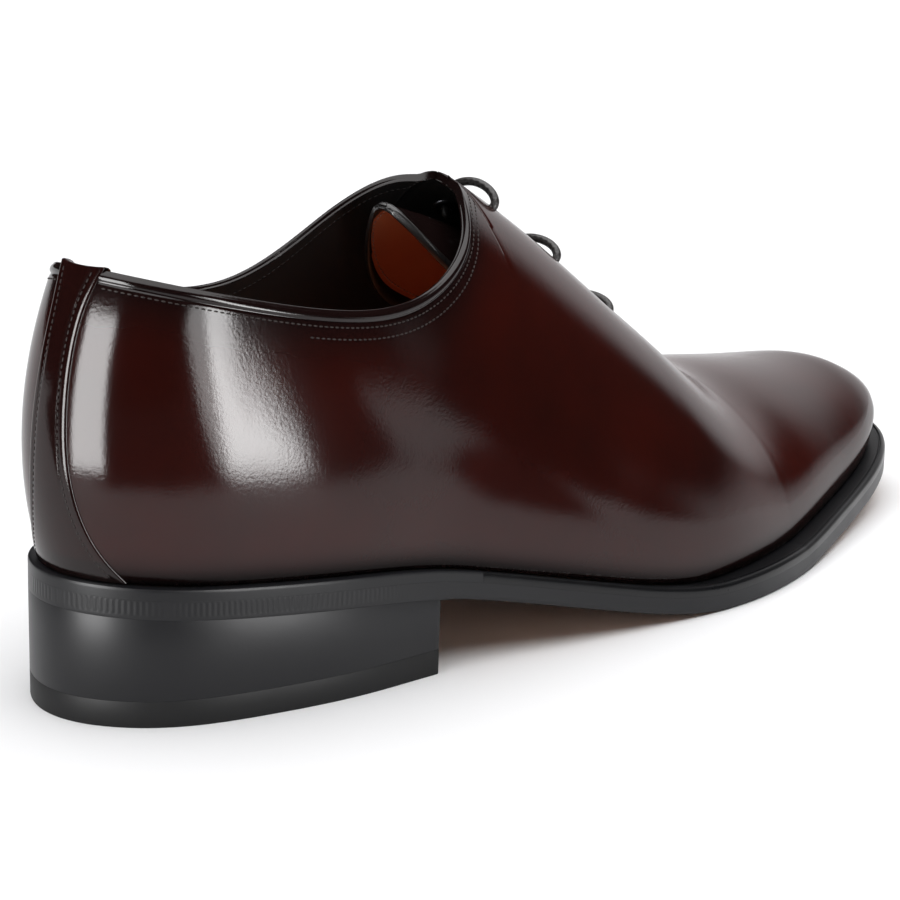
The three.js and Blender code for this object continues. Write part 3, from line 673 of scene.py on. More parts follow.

# Upper. One piece of polished calf drawn over the last and closed by the slit on the instep,
# with its topline folded over the lining. Burnished dark at the topline and the toe. The dark
# band along the sole is painted shade, where the upper tucks into the welt.
UPPER_STATIONS = 300
UPPER_SHARES = np.concatenate([np.linspace(0, 0.88, 52), np.linspace(0.88, 1, 34)[1:]])
BEAD_WIDTH = 2.0 * MM
BEAD_HEIGHT = 0.38 * MM
COLLAR_FRONT_FROM = 81 * MM
RIM_PROFILE = (
    # up and inward, in mm, over the folded edge, a groove and the lining's edge
    (0.30, 0.06),
    (0.52, 0.38),
    (0.50, 0.82),
    (0.22, 1.14),
    (-0.16, 1.24),
    (-0.14, 1.36),
    (0.16, 1.44),
    (0.22, 1.70),
    (0.02, 1.94),
)
CREASE_COLUMNS = ("at", "up", "side", "length", "width", "turn", "depth")
CREASE_ROWS = (
    (0.30, 0.40, 1, 0.075, 0.030, 0.9, 0.07),
    (0.47, 0.30, 1, 0.085, 0.028, 0.6, 0.08),
    (0.56, 0.62, 1, 0.070, 0.024, -0.5, 0.10),
    (0.25, 0.36, -1, 0.080, 0.026, 0.8, 0.22),
    (0.50, 0.40, -1, 0.080, 0.022, 0.5, 0.20),
    (0.93, 0.22, 1, 0.020, 0.006, 1.2, 0.14),
    (0.965, 0.24, 1, 0.016, 0.005, 1.3, 0.14),
    (0.95, 0.22, -1, 0.018, 0.006, 1.2, 0.14),
)


def upper_stations():
    even = stations_between(FEATHER_BACK, FEATHER_FRONT, UPPER_STATIONS, (THROAT_AT, SLIT_END))
    steep = (even[:-1] >= COLLAR_FRONT_FROM) & (even[1:] <= THROAT_AT)
    thirds = [even[:-1][steep] * (1 - k / 3) + even[1:][steep] * k / 3 for k in (1, 2)]
    return np.sort(np.concatenate([even, *thirds]))


def crease_depth(points, side):
    """Soft troughs at listed places: in shares of the length and of the instep height."""
    depth = np.zeros(points.shape[:2])
    for row in CREASE_ROWS:
        crease = dict(zip(CREASE_COLUMNS, row))
        if crease["side"] != side:
            continue
        dy = points[..., 1] - crease["at"] * LENGTH
        dz = points[..., 2] - crease["up"] * INSTEP_HEIGHT
        along = dy * math.sin(crease["turn"]) + dz * math.cos(crease["turn"])
        over = dy * math.cos(crease["turn"]) - dz * math.sin(crease["turn"])
        reach = (along / (crease["length"] * LENGTH)) ** 2 + (over / (crease["width"] * LENGTH)) ** 2
        depth += crease["depth"] * MM * np.exp(-reach)
    return depth


def reached_up(points):
    """The way up from the sole to each point of a grid, and the way left to its last row."""
    steps = np.linalg.norm(np.diff(points, axis=1), axis=2)
    reached = np.concatenate([np.zeros((len(points), 1)), np.cumsum(steps, axis=1)], axis=1)
    return reached, reached[:, -1:] - reached


def bead_height(points):
    """The folded topline stands proud as a soft bead with a pressed line under it."""
    left = reached_up(points)[1]
    across = np.clip(left / BEAD_WIDTH, 0, 1)
    bead = BEAD_HEIGHT * np.sin(np.pi * across) ** 0.7
    line = 0.20 * MM * np.exp(-(((left - BEAD_WIDTH - 0.15 * MM) / (0.28 * MM)) ** 2))
    fade = np.clip((THROAT_AT - 3 * MM - stations) / (12 * MM), 0, 1)[:, None]
    return (bead - line) * fade


def set_layer(piece, word, values):
    """Keeps a number at each point of a piece, for its material to read."""
    layer = piece.data.attributes.new(word, "FLOAT", "POINT")
    layer.data.foreach_set("value", np.ravel(values).astype(np.float32))


def last_normals(y, v, side):
    before = np.maximum(y - 0.5 * MM, FEATHER_BACK)
    after = np.minimum(y + 0.5 * MM, FEATHER_FRONT)
    along = last_point(after, v, side) - last_point(before, v, side)
    upward = last_point(y, np.minimum(v + 0.005, 1), side) - last_point(y, np.maximum(v - 0.005, 0), side)
    return unit(np.cross(along, upward) * side)


stations = upper_stations()
slit_taper = np.clip((SLIT_END - stations) / (9 * MM), 0, 1)
slit_half = np.where(stations >= THROAT_AT, SLIT_WIDTH / 2 * slit_taper, 0)
outer = {}
normals = {}
for side in (1, -1):
    v = upper_top(stations, side)[:, None] * UPPER_SHARES[None]
    outer[side] = last_point(stations[:, None], v, side)
    outer[side][:, -1, 0] += side * slit_half
    normals[side] = last_normals(stations[:, None], v, side)
    normals[side][-1] = (0, 1, 0)
closed = stations >= SLIT_END
for side in (1, -1):
    other = normals[-side]
    normals[side][0] = unit(normals[side][0] + other[0])
    normals[side][closed, -1] = unit(normals[side][closed, -1] + other[closed, -1])
normals[-1][0] = normals[1][0]
normals[-1][closed, -1] = normals[1][closed, -1]

upper_parts = []
for side in (1, -1):
    relief = bead_height(outer[side]) - crease_depth(outer[side], side)
    skin = outer[side] + normals[side] * relief[..., None]
    inwards = -normals[side].copy()
    inwards[:, 0, 2] = 0
    inwards = unit(inwards)
    lining = outer[side] + inwards * UPPER_WALL
    is_open = stations <= SLIT_END
    up = unit(outer[side][is_open, -1] - outer[side][is_open, -6])
    inward = inwards[is_open, -1]
    fade = np.clip((THROAT_AT - 2 * MM - stations[is_open]) / (14 * MM), 0.0, 1)[:, None]
    fade[stations[is_open] >= SLIT_END] = 0
    rim = [skin[is_open, -1]]
    for rise, inset in RIM_PROFILE:
        rim.append(skin[is_open, -1] + up * fade * rise * MM + inward * inset * MM)
    rim.append(lining[is_open, -1])
    outer[side] = skin
    foot_edge = np.stack([skin[:, 0], lining[:, 0]], axis=1)
    for k, part in enumerate((skin, lining, np.stack(rim, axis=1), foot_edge)):
        grid = laid_grid(f"upper_{side}_{k}", part)
        grid.data.materials.clear()
        burnish_and_shade = np.full(part.shape[:2], 0.85)
        dull = np.zeros(part.shape[:2])
        if k == 0:
            from_feather, from_top = reached_up(part)
            is_collar = np.clip((SLIT_END - stations) / (40 * MM), 0, 1)[:, None]
            # The feather term is painted shade: the upper goes near black where it tucks into the welt, and
            # its coat is thinned over the same band. The topline and toe terms are real burnish.
            burnish_and_shade = np.maximum(
                0.85 * np.exp(-((from_top / (10 * MM)) ** 2)) * is_collar,
                np.exp(-((from_feather / (4.5 * MM)) ** 2)),
            )
            dull = np.exp(-((from_feather / (3.4 * MM)) ** 2))
            toe = np.clip((stations - 268 * MM) / (34 * MM), 0, 1)[:, None]
            burnish_and_shade = np.maximum(burnish_and_shade, 0.55 * toe)
        set_layer(grid, "burnish_and_shade", burnish_and_shade)
        set_layer(grid, "dull", dull)
        set_layer(grid, "inside", np.full(part.shape[:2], float(k == 1)))
        upper_parts.append(grid)
upper = joined(upper_parts, "upper_calf")
close_up(upper)
smooth(upper)

# Calf. Aniline brown over a red ground, glazed and waxed to a mirror, with a fine grain that only
# shows at the edges of the lights it reflects.
calf = new_material("polished_calf", (0.03, 0.008, 0.006, 1), 0.5, coat=0.7, coat_roughness=0.11, shine=0.0)
calf_shader = calf.node_tree.nodes["Principled BSDF"]
calf_place = add_node(calf, "ShaderNodeTexCoord")
calf_cloud = add_node(calf, "ShaderNodeTexNoise", scale=26.0, detail=3.0)
calf_ground = add_node(calf, "ShaderNodeValToRGB")
calf_ground.color_ramp.elements[0].position = 0.22
calf_ground.color_ramp.elements[0].color = (0.017, 0.0034, 0.0026, 1)
calf_ground.color_ramp.elements[1].position = 0.80
calf_ground.color_ramp.elements[1].color = (0.042, 0.0048, 0.0028, 1)
# Burnish layer: darker at the topline and toe as real burnish, and along the feather and the back strip's foot
# as painted shade.
calf_burnish_and_shade = add_node(calf, "ShaderNodeAttribute", attribute_name="burnish_and_shade")
calf_dark = add_node(calf, "ShaderNodeMix", data_type="RGBA")
calf_dark.inputs[7].default_value = (0.0048, 0.0034, 0.0034, 1)
calf_grain = add_node(calf, "ShaderNodeTexNoise", scale=1250.0, detail=4.0, roughness=0.62)
calf_pull = add_node(calf, "ShaderNodeTexNoise", scale=120.0, detail=2.0)
calf_bump = add_node(calf, "ShaderNodeBump", strength=0.42)
calf_bump.inputs["Distance"].default_value = 0.05 * MM
calf_wave = add_node(calf, "ShaderNodeBump", strength=0.22)
calf_wave.inputs["Distance"].default_value = 0.12 * MM
calf_dull = add_node(calf, "ShaderNodeAttribute", attribute_name="dull")
calf_coat = add_node(calf, "ShaderNodeMapRange")
calf_coat.inputs["To Min"].default_value = 0.7
calf_coat.inputs["To Max"].default_value = 0.12
join_nodes(
    calf,
    (calf_place.outputs["Object"], calf_cloud.inputs["Vector"]),
    (calf_place.outputs["Object"], calf_grain.inputs["Vector"]),
    (calf_place.outputs["Object"], calf_pull.inputs["Vector"]),
    (calf_cloud.outputs["Fac"], calf_ground.inputs["Fac"]),
    (calf_ground.outputs["Color"], calf_dark.inputs[6]),
    (calf_burnish_and_shade.outputs["Fac"], calf_dark.inputs[0]),
    (calf_dark.outputs[2], calf_shader.inputs["Base Color"]),
    (calf_dull.outputs["Fac"], calf_coat.inputs["Value"]),
    (calf_coat.outputs[0], calf_shader.inputs["Coat Weight"]),
    (calf_pull.outputs["Fac"], calf_wave.inputs["Height"]),
    (calf_grain.outputs["Fac"], calf_bump.inputs["Height"]),
    (calf_wave.outputs["Normal"], calf_bump.inputs["Normal"]),
    (calf_bump.outputs["Normal"], calf_shader.inputs["Normal"]),
    (calf_bump.outputs["Normal"], calf_shader.inputs["Coat Normal"]),
)

# Lining. Smooth vegetable-tanned leather, dyed very dark inside the quarters and left tan under
# the tongue.
def lining_leather(name, dark, light, roughness):
    material = new_material(name, light, roughness, coat=0.12, coat_roughness=0.35)
    place = add_node(material, "ShaderNodeTexCoord")
    cloud = add_node(material, "ShaderNodeTexNoise", scale=60.0, detail=5.0)
    tone = add_node(material, "ShaderNodeMix", data_type="RGBA")
    tone.inputs[6].default_value = dark
    tone.inputs[7].default_value = light
    pores = add_node(material, "ShaderNodeTexNoise", scale=2200.0, detail=3.0)
    bump = add_node(material, "ShaderNodeBump", strength=0.35)
    bump.inputs["Distance"].default_value = 0.06 * MM
    shader = material.node_tree.nodes["Principled BSDF"]
    join_nodes(
        material,
        (place.outputs["Object"], cloud.inputs["Vector"]),
        (place.outputs["Object"], pores.inputs["Vector"]),
        (cloud.outputs["Fac"], tone.inputs[0]),
        (tone.outputs[2], shader.inputs["Base Color"]),
        (pores.outputs["Fac"], bump.inputs["Height"]),
        (bump.outputs["Normal"], shader.inputs["Normal"]),
    )
    return material


dark_lining = lining_leather("dark_lining", (0.006, 0.0045, 0.004, 1), (0.016, 0.010, 0.008, 1), 0.5)
tan_lining = lining_leather("tan_lining", (0.50, 0.15, 0.055, 1), (0.68, 0.22, 0.085, 1), 0.6)
upper.data.materials.append(calf)
upper.data.materials.append(dark_lining)
inside = np.zeros(len(upper.data.vertices), np.float32)
upper.data.attributes["inside"].data.foreach_get("value", inside)
for face in upper.data.polygons:
    face.material_index = int(min(inside[v] for v in face.vertices) > 0.5)
fitted(upper, "calf", "upper")

# Lace holes. Six plain punched holes, each backed by a blind eyelet of blackened metal that is
# rolled over inside the facing and doesn't show outside.
LACE_HOLE = 2.9 * MM
HOLE_SIDES = 24
punches = []
for side in (1, -1):
    for y in EYELET_ROWS:
        point, normal = instep_point(y, EYELET_FROM_SLIT, side, UPPER_WALL / 2)
        bpy.ops.mesh.primitive_cylinder_add(vertices=HOLE_SIDES, radius=LACE_HOLE / 2, depth=4 * UPPER_WALL)
        punch = bpy.context.active_object
        aim = Matrix(np.stack([*np.linalg.svd(normal[None])[2][1:], normal], axis=1).tolist()).to_4x4()
        if aim.determinant() < 0:
            aim = aim @ Matrix.Diagonal((-1, 1, 1, 1))
        punch.data.transform(Matrix.Translation(point + ORIGIN) @ aim)
        punches.append(punch)
punch = joined(punches, "punches")
cut = upper.modifiers.new("holes", "BOOLEAN")
cut.operation = "DIFFERENCE"
cut.solver = "EXACT"
cut.object = punch
bpy.context.view_layer.objects.active = upper
bpy.ops.object.modifier_apply(modifier="holes")
bpy.data.objects.remove(punch)

EYELET_RING = (
    # radius and depth of the rolled ring, in mm
    (1.60, 0.0),
    (1.52, 0.35),
    (1.70, 0.72),
    (2.10, 0.82),
    (2.90, 0.62),
    (3.30, 0.30),
    (3.40, 0.0),
    (1.60, 0.0),
)
metal = new_material("blackened_metal", (0.045, 0.045, 0.05, 1), 0.3)
metal_shader = metal.node_tree.nodes["Principled BSDF"]
metal_shader.inputs["Metallic"].default_value = 1.0
metal_place = add_node(metal, "ShaderNodeTexCoord")
metal_wear = add_node(metal, "ShaderNodeTexNoise", scale=900.0, detail=3.0)
metal_range = add_node(metal, "ShaderNodeMapRange")
metal_range.inputs["To Min"].default_value = 0.22
metal_range.inputs["To Max"].default_value = 0.5
join_nodes(
    metal,
    (metal_place.outputs["Object"], metal_wear.inputs["Vector"]),
    (metal_wear.outputs["Fac"], metal_range.inputs["Value"]),
    (metal_range.outputs[0], metal_shader.inputs["Roughness"]),
)
for side, word in ((1, "outer"), (-1, "inner")):
    for number, y in enumerate(EYELET_ROWS, 1):
        point, normal = instep_point(y, EYELET_FROM_SLIT, side, UPPER_WALL + 0.1 * MM)
        level = unit(np.cross(normal, (0, 0, 1.0)))
        steep = np.cross(normal, level)
        turn = np.linspace(0, 2 * math.pi, 33)[:, None, None]
        radius = np.array([row[0] for row in EYELET_RING])[None, :, None] * MM
        depth = np.array([row[1] for row in EYELET_RING])[None, :, None] * MM
        ring = point + radius * (level * np.cos(turn) + steep * np.sin(turn)) - depth * normal
        eyelet = laid_grid(f"blind_eyelet_{word}_{number}", ring)
        close_up(eyelet)
        smooth(eyelet, 40)
        eyelet.data.materials.append(metal)
        fitted(eyelet, "blackened_metal", f"eyelet_{word}_{number}")

# Stitching. Fine linen thread in short close stitches, in rows that follow the topline: one near
# the fold and one below it, with a row on the lining's side.
STITCH_PITCH = 1.45 * MM
STITCH_LENGTH = 1.1 * MM
STITCH_WIDTH = 0.42 * MM
STITCH_HEIGHT = 0.30 * MM
TOPLINE_ROWS_END = 119 * MM
TOPLINE_ROWS = (
    # name, distance below the topline, where it starts, whether it is on the lining
    ("low", 6.3 * MM, 46 * MM, False),
    ("high", 3.7 * MM, 4 * MM, False),
    ("in", 3.6 * MM, 10 * MM, True),
)


def stitch_row(route, normal, name, pitch=STITCH_PITCH, scale=1.0):
    """Small rounded stitches laid end to end on a route, each a copy of one sphere's mesh."""
    bpy.ops.mesh.primitive_uv_sphere_add(segments=8, ring_count=5, radius=0.5)
    ball = bpy.context.active_object
    corners = np.array([vertex.co[:] for vertex in ball.data.vertices])
    faces = [list(face.vertices) for face in ball.data.polygons]
    bpy.data.objects.remove(ball)
    reached = np.concatenate([[0], np.cumsum(np.linalg.norm(np.diff(route, axis=0), axis=1))])
    places = np.arange(pitch / 2, reached[-1], pitch)
    at = np.stack([np.interp(places, reached, route[:, k]) for k in range(3)], axis=-1)
    up = unit(np.stack([np.interp(places, reached, normal[:, k]) for k in range(3)], axis=-1))
    ahead = np.stack([np.interp(places + 0.3 * pitch, reached, route[:, k]) for k in range(3)], axis=-1)
    along = unit(ahead - at)
    across = np.cross(up, along)
    size = np.array([STITCH_LENGTH, STITCH_WIDTH, STITCH_HEIGHT]) * scale
    local = corners * size
    points = (
        at[:, None]
        + along[:, None] * local[None, :, 0:1]
        + across[:, None] * local[None, :, 1:2]
        + up[:, None] * local[None, :, 2:3]
    )
    mesh = bpy.data.meshes.new(name)
    count = len(corners)
    all_faces = [[k + i * count for k in face] for i in range(len(places)) for face in faces]
    mesh.from_pydata((points.reshape(-1, 3) + ORIGIN).tolist(), [], all_faces)
    row = bpy.data.objects.new(name, mesh)
    bpy.context.collection.objects.link(row)
    return row


def under_topline(side, distance, start, end, inner=False):
    """A line at a distance below the topline, on the calf or on the lining."""
    chosen = (stations >= start) & (stations <= end)
    points = outer[side][chosen]
    up = normals[side][chosen]
    if inner:
        points = points - up * (UPPER_WALL + 0.02 * MM)
        up = -up
    steps = np.linalg.norm(np.diff(points, axis=1), axis=2)
    from_top = np.cumsum(steps[:, ::-1], axis=1)[:, ::-1]
    from_top = np.concatenate([from_top, np.zeros((len(points), 1))], axis=1)
    route = []
    facing = []
    for row, direction, down in zip(points, up, from_top):
        route.append([np.interp(-distance, -down, row[:, k]) for k in range(3)])
        facing.append([np.interp(-distance, -down, direction[:, k]) for k in range(3)])
    return np.array(route), np.array(facing)


thread = new_material("linen_thread", (0.030, 0.020, 0.017, 1), 0.55, shine=0.25)
thread_place = add_node(thread, "ShaderNodeTexCoord")
thread_tone = add_node(thread, "ShaderNodeTexNoise", scale=700.0, detail=2.0)
thread_mix = add_node(thread, "ShaderNodeMix", data_type="RGBA")
thread_mix.inputs[6].default_value = (0.008, 0.005, 0.005, 1)
thread_mix.inputs[7].default_value = (0.040, 0.027, 0.023, 1)
join_nodes(
    thread,
    (thread_place.outputs["Object"], thread_tone.inputs["Vector"]),
    (thread_tone.outputs["Fac"], thread_mix.inputs[0]),
    (thread_mix.outputs[2], thread.node_tree.nodes["Principled BSDF"].inputs["Base Color"]),
)

upper_rows = []
for side in (1, -1):
    for word, below, start, inner in TOPLINE_ROWS:
        route, facing = under_topline(side, below, start, TOPLINE_ROWS_END, inner)
        upper_rows.append(stitch_row(route, facing, f"row_{word}_{side}"))
topline_stitches = joined(upper_rows, "topline_stitches")
smooth(topline_stitches)
topline_stitches.data.materials.append(thread)
fitted(topline_stitches, "calf")

# Back strip. A narrow piece of the same calf that covers the back seam, wide at the seat, folded
# at both edges and sewn along them, and turned over the topline at its head.
STRIP_THICKNESS = 1.1 * MM
STRIP_REACH = 30 * MM
STRIP_ROWS = 90
STRIP_COLUMNS = 40
STRIP_SEAM_IN = 2.1 * MM
STRIP_STITCH_PLACES = 120
STRIP_HEAD = (
    # up and inward, in mm, over the topline and down inside it
    (0.3, 0.0),
    (0.55, 0.4),
    (0.6, 1.3),
    (0.4, 2.2),
    (0.0, 2.7),
    (-2.0, 2.6),
    (-6.0, 2.5),
)
STRIP_COLUMN_NAMES = ("up", "half")
STRIP_TABLE = (
    (0.0, 0.146),
    (0.12, 0.108),
    (0.24, 0.082),
    (0.38, 0.064),
    (0.55, 0.054),
    (0.75, 0.048),
    (0.9, 0.052),
    (1.0, 0.066),
)
strip_table = table_of(STRIP_COLUMN_NAMES, STRIP_TABLE)
strip_half = natural_spline(strip_table["up"], strip_table["half"] * BALL_WIDTH)


def back_point(up, offset, lift):
    """A point of the back of the upper, beside the seam by an offset and lifted off it."""
    side = np.where(offset < 0, -1, 1)
    v = up * float(upper_top(FEATHER_BACK, 1))
    near = bisect(
        lambda s: np.abs(last_point(FEATHER_BACK + s * STRIP_REACH, v, side)[..., 0]) < np.abs(offset),
        v * 1.0,
    )
    y = np.where(np.abs(offset) < 1e-6, FEATHER_BACK, FEATHER_BACK + near * STRIP_REACH)
    here = last_point(y, v, side)
    rise = last_point(y, v + 0.01, side) - last_point(y, np.maximum(0, v - 0.01), side)
    before = last_point(np.maximum(FEATHER_BACK, y - 0.05 * MM), v, side)
    after = last_point(y + 0.05 * MM, v, side)
    beside = np.where((np.abs(offset) < 1e-6)[..., None], (1.0, 0, 0), (after - before) * side[..., None])
    normal = unit(np.cross(beside, rise))
    return here + normal * np.asarray(lift)[..., None], normal


strip_up = np.linspace(0.004, 1.0, STRIP_ROWS + 1)[:, None]
strip_across = np.sin(np.linspace(-math.pi / 2, math.pi / 2, STRIP_COLUMNS + 1))[None]
strip_offset = strip_half(strip_up) * strip_across
from_edge = strip_half(strip_up) - np.abs(strip_offset)
fold = np.sqrt(np.clip(1 - (1 - np.clip(from_edge / (1.0 * MM), 0, 1)) ** 2, 0, 1))
seam = np.exp(-(((from_edge - STRIP_SEAM_IN) / (0.45 * MM)) ** 2))
strip_lift = 0.05 * MM + (STRIP_THICKNESS + GAP) * 0.42 * fold - 0.14 * MM * seam
strip_outer, strip_normals = back_point(strip_up + 0 * strip_offset, strip_offset, strip_lift)
head = strip_outer[-1]
head_normal = strip_normals[-1]
head_up = unit(strip_outer[-1] - strip_outer[-3])
over = []
for rise, inset in STRIP_HEAD:
    over.append(head + head_up * rise * MM - head_normal * inset * MM)
strip_skin = np.concatenate([strip_outer, np.stack(over)], axis=0)
back_strip = laid_grid("back_strip_calf", strip_skin)
# Darker over the whole strip, more along its sewn seams, and most at its foot, where the dark band is painted
# shade like the upper's along the feather.
strip_burnish_and_shade = np.full(strip_skin.shape[:2], 0.55)
strip_burnish_and_shade[: STRIP_ROWS + 1] = np.maximum(strip_burnish_and_shade[: STRIP_ROWS + 1], 0.7 * seam)
strip_burnish_and_shade[:8] = np.maximum(strip_burnish_and_shade[:8], 0.8)
set_layer(back_strip, "burnish_and_shade", strip_burnish_and_shade)
wall = back_strip.modifiers.new("wall", "SOLIDIFY")
wall.thickness = 0.25 * MM
wall.offset = -1
edit(back_strip, lambda: bpy.ops.mesh.normals_make_consistent(inside=False))
if back_strip.data.polygons[len(back_strip.data.polygons) // 2].normal.y > 0:
    edit(back_strip, lambda: bpy.ops.mesh.flip_normals())
bpy.ops.object.modifier_apply(modifier="wall")
smooth(back_strip, 50)
back_strip.data.materials.append(calf)
fitted(back_strip, "calf", "back_strip")

strip_stitch_rows = []
for side in (1, -1):
    row_up = np.linspace(0.02, 0.985, STRIP_STITCH_PLACES)
    row_offset = side * (strip_half(row_up) - STRIP_SEAM_IN)
    route, facing = back_point(row_up, row_offset, np.full(STRIP_STITCH_PLACES, 0.53 * MM))
    strip_stitch_rows.append(stitch_row(route, facing, f"strip_row_{side}", scale=0.95))
strip_stitches = joined(strip_stitch_rows, "back_strip_stitches")
smooth(strip_stitches)
strip_stitches.data.materials.append(thread)
fitted(strip_stitches, "calf")

# Tongue. A tapered leaf of calf lined with tan leather and bound round its edge, hung under the
# facings and caught below the slit's end. Its tip leans into the shoe.
TONGUE_THICKNESS = 2 * MM
TONGUE_TIP = 103 * MM
TONGUE_END = 202 * MM
TONGUE_WIDTH = 54 * MM
TONGUE_DROOP = 8 * MM
TONGUE_CAUGHT = (182 * MM, 192 * MM)
TONGUE_COLUMN_NAMES = ("along", "half")
TONGUE_TABLE = (
    (0.0, 0.12),
    (0.04, 0.3),
    (0.1, 0.4),
    (0.22, 0.46),
    (0.6, 0.5),
    (1.0, 0.5),
)
TONGUE_ROWS = 110
TONGUE_COLUMNS = 56
TONGUE_BINDING = 1.7 * MM
TONGUE_STITCH_IN = TONGUE_BINDING + 0.9 * MM
TONGUE_STITCH_PLACES = 160
TIP_STITCH_PLACES = 60
TONGUE_DEPTH = LACE_DEPTH + LACE_DIAMETER / 2 + GAP
tongue_table = table_of(TONGUE_COLUMN_NAMES, TONGUE_TABLE)
tongue_half = round_spline(tongue_table["along"], tongue_table["half"] * TONGUE_WIDTH)


def tongue_point(y, across, depth):
    half = tongue_half((y - TONGUE_TIP) / (TONGUE_END - TONGUE_TIP))
    caught = np.clip((y - TONGUE_CAUGHT[0]) / (TONGUE_CAUGHT[1] - TONGUE_CAUGHT[0]), 0, 1)
    below = TONGUE_DEPTH + (UPPER_WALL + 1.4 * GAP - TONGUE_DEPTH) * caught + depth
    side = np.where(across < 0, -1, 1)
    point, normal = instep_point(y, np.abs(across) * half, side, below)
    leaned = np.clip((EYELET_ROWS[1] - y) / (EYELET_ROWS[1] - TONGUE_TIP), 0, 1)
    point[..., 2] -= TONGUE_DROOP * leaned**1.6
    return point, normal


tongue_along = np.linspace(0, 1, TONGUE_ROWS + 1)[:, None] ** 1.4
tongue_y = TONGUE_TIP + (TONGUE_END - TONGUE_TIP) * tongue_along
tongue_across = np.sin(np.linspace(-math.pi / 2, math.pi / 2, TONGUE_COLUMNS + 1))[None]
tongue_half_here = tongue_half(tongue_along)
side_room = (1 - np.abs(tongue_across)) * tongue_half_here
tip_room = tongue_y - TONGUE_TIP + 0 * side_room
tongue_room = np.minimum(side_room, tip_room)
rounding = np.sqrt(np.clip(1 - (1 - np.clip(tongue_room / (0.9 * MM), 0, 1)) ** 2, 0, 1))
bound = 1 / (1 + np.exp((tongue_room - TONGUE_BINDING) / (0.12 * MM)))
half_wall = TONGUE_THICKNESS / 2 * (0.28 + 0.72 * rounding) * (0.78 + 0.22 * bound)
tongue_mid = TONGUE_THICKNESS / 2
tongue_parts = []
for k, sign in enumerate((-1, 1)):
    points, _ = tongue_point(
        np.broadcast_to(tongue_y, side_room.shape),
        np.broadcast_to(tongue_across, side_room.shape),
        tongue_mid + sign * half_wall,
    )
    tongue_parts.append(points)
top_face, under_face = tongue_parts
loop = np.concatenate([top_face, under_face[:, ::-1], top_face[:, :1]], axis=1)
tongue = laid_grid("tongue_leaf", loop)
is_under = np.concatenate([np.zeros_like(bound), np.ones_like(bound), np.zeros_like(bound[:, :1])], axis=1)
is_bound = np.concatenate([bound, bound[:, ::-1], bound[:, :1]], axis=1)
for word, values in (("inside", is_under), ("bound", is_bound), ("burnish_and_shade", np.full(is_bound.shape, 0.9))):
    set_layer(tongue, word, values)
close_up(tongue)
edit(
    tongue,
    lambda: bpy.ops.mesh.select_all(action="DESELECT"),
    lambda: bpy.ops.mesh.select_non_manifold(),
    lambda: bpy.ops.mesh.fill(),
    lambda: bpy.ops.mesh.select_all(action="SELECT"),
    lambda: bpy.ops.mesh.normals_make_consistent(inside=False),
)
smooth(tongue, 60)
binding = new_material("edge_binding", (0.010, 0.009, 0.009, 1), 0.32, coat=0.4, coat_roughness=0.2)
binding_place = add_node(binding, "ShaderNodeTexCoord")
binding_grain = add_node(binding, "ShaderNodeTexNoise", scale=1200.0, detail=3.0)
binding_bump = add_node(binding, "ShaderNodeBump", strength=0.3)
binding_bump.inputs["Distance"].default_value = 0.06 * MM
join_nodes(
    binding,
    (binding_place.outputs["Object"], binding_grain.inputs["Vector"]),
    (binding_grain.outputs["Fac"], binding_bump.inputs["Height"]),
    (binding_bump.outputs["Normal"], binding.node_tree.nodes["Principled BSDF"].inputs["Normal"]),
)
for material in (calf, tan_lining, binding):
    tongue.data.materials.append(material)
under = np.zeros(len(tongue.data.vertices), np.float32)
edged = np.zeros(len(tongue.data.vertices), np.float32)
tongue.data.attributes["inside"].data.foreach_get("value", under)
tongue.data.attributes["bound"].data.foreach_get("value", edged)
for face in tongue.data.polygons:
    if np.mean([edged[v] for v in face.vertices]) > 0.5:
        face.material_index = 2
    else:
        face.material_index = int(np.mean([under[v] for v in face.vertices]) > 0.5)
fitted(tongue, "lining_leather", "tongue")

tongue_routes = []
row_y = np.linspace(TONGUE_TIP + TONGUE_BINDING + 1.0 * MM, TONGUE_CAUGHT[0], TONGUE_STITCH_PLACES)
for side in (1, -1):
    row_half = tongue_half((row_y - TONGUE_TIP) / (TONGUE_END - TONGUE_TIP))
    row_across = side * np.maximum(0, 1 - TONGUE_STITCH_IN / row_half)
    row_depth = np.full(TONGUE_STITCH_PLACES, TONGUE_THICKNESS * 0.93)
    route, facing = tongue_point(row_y, row_across, row_depth)
    tongue_routes.append(stitch_row(route, -facing, f"tongue_row_{side}"))
tip_half = tongue_half((row_y[0] - TONGUE_TIP) / (TONGUE_END - TONGUE_TIP))
tip_across = np.linspace(-1, 1, TIP_STITCH_PLACES) * (1 - TONGUE_STITCH_IN / tip_half)
tip_depth = np.full(TIP_STITCH_PLACES, TONGUE_THICKNESS * 0.93)
route, facing = tongue_point(np.full(TIP_STITCH_PLACES, row_y[0]), tip_across, tip_depth)
tongue_routes.append(stitch_row(route, -facing, "tongue_row_tip"))
tongue_stitches = joined(tongue_routes, "tongue_stitches")
smooth(tongue_stitches)
pale_thread = new_material("tan_thread", (0.42, 0.20, 0.11, 1), 0.6)
pale_place = add_node(pale_thread, "ShaderNodeTexCoord")
pale_noise = add_node(pale_thread, "ShaderNodeTexNoise", scale=800.0)
pale_mix = add_node(pale_thread, "ShaderNodeMix", data_type="RGBA")
pale_mix.inputs[6].default_value = (0.26, 0.11, 0.06, 1)
pale_mix.inputs[7].default_value = (0.55, 0.30, 0.19, 1)
join_nodes(
    pale_thread,
    (pale_place.outputs["Object"], pale_noise.inputs["Vector"]),
    (pale_noise.outputs["Fac"], pale_mix.inputs[0]),
    (pale_mix.outputs[2], pale_thread.node_tree.nodes["Principled BSDF"].inputs["Base Color"]),
)
tongue_stitches.data.materials.append(pale_thread)
fitted(tongue_stitches, "lining_leather")

# Sock and insole. A firm insole under a smooth leather sock that covers it from heel to toe.
INSOLE_THICKNESS = 3 * MM
SOLE_STATIONS = 220
PLATE_ACROSS = 10


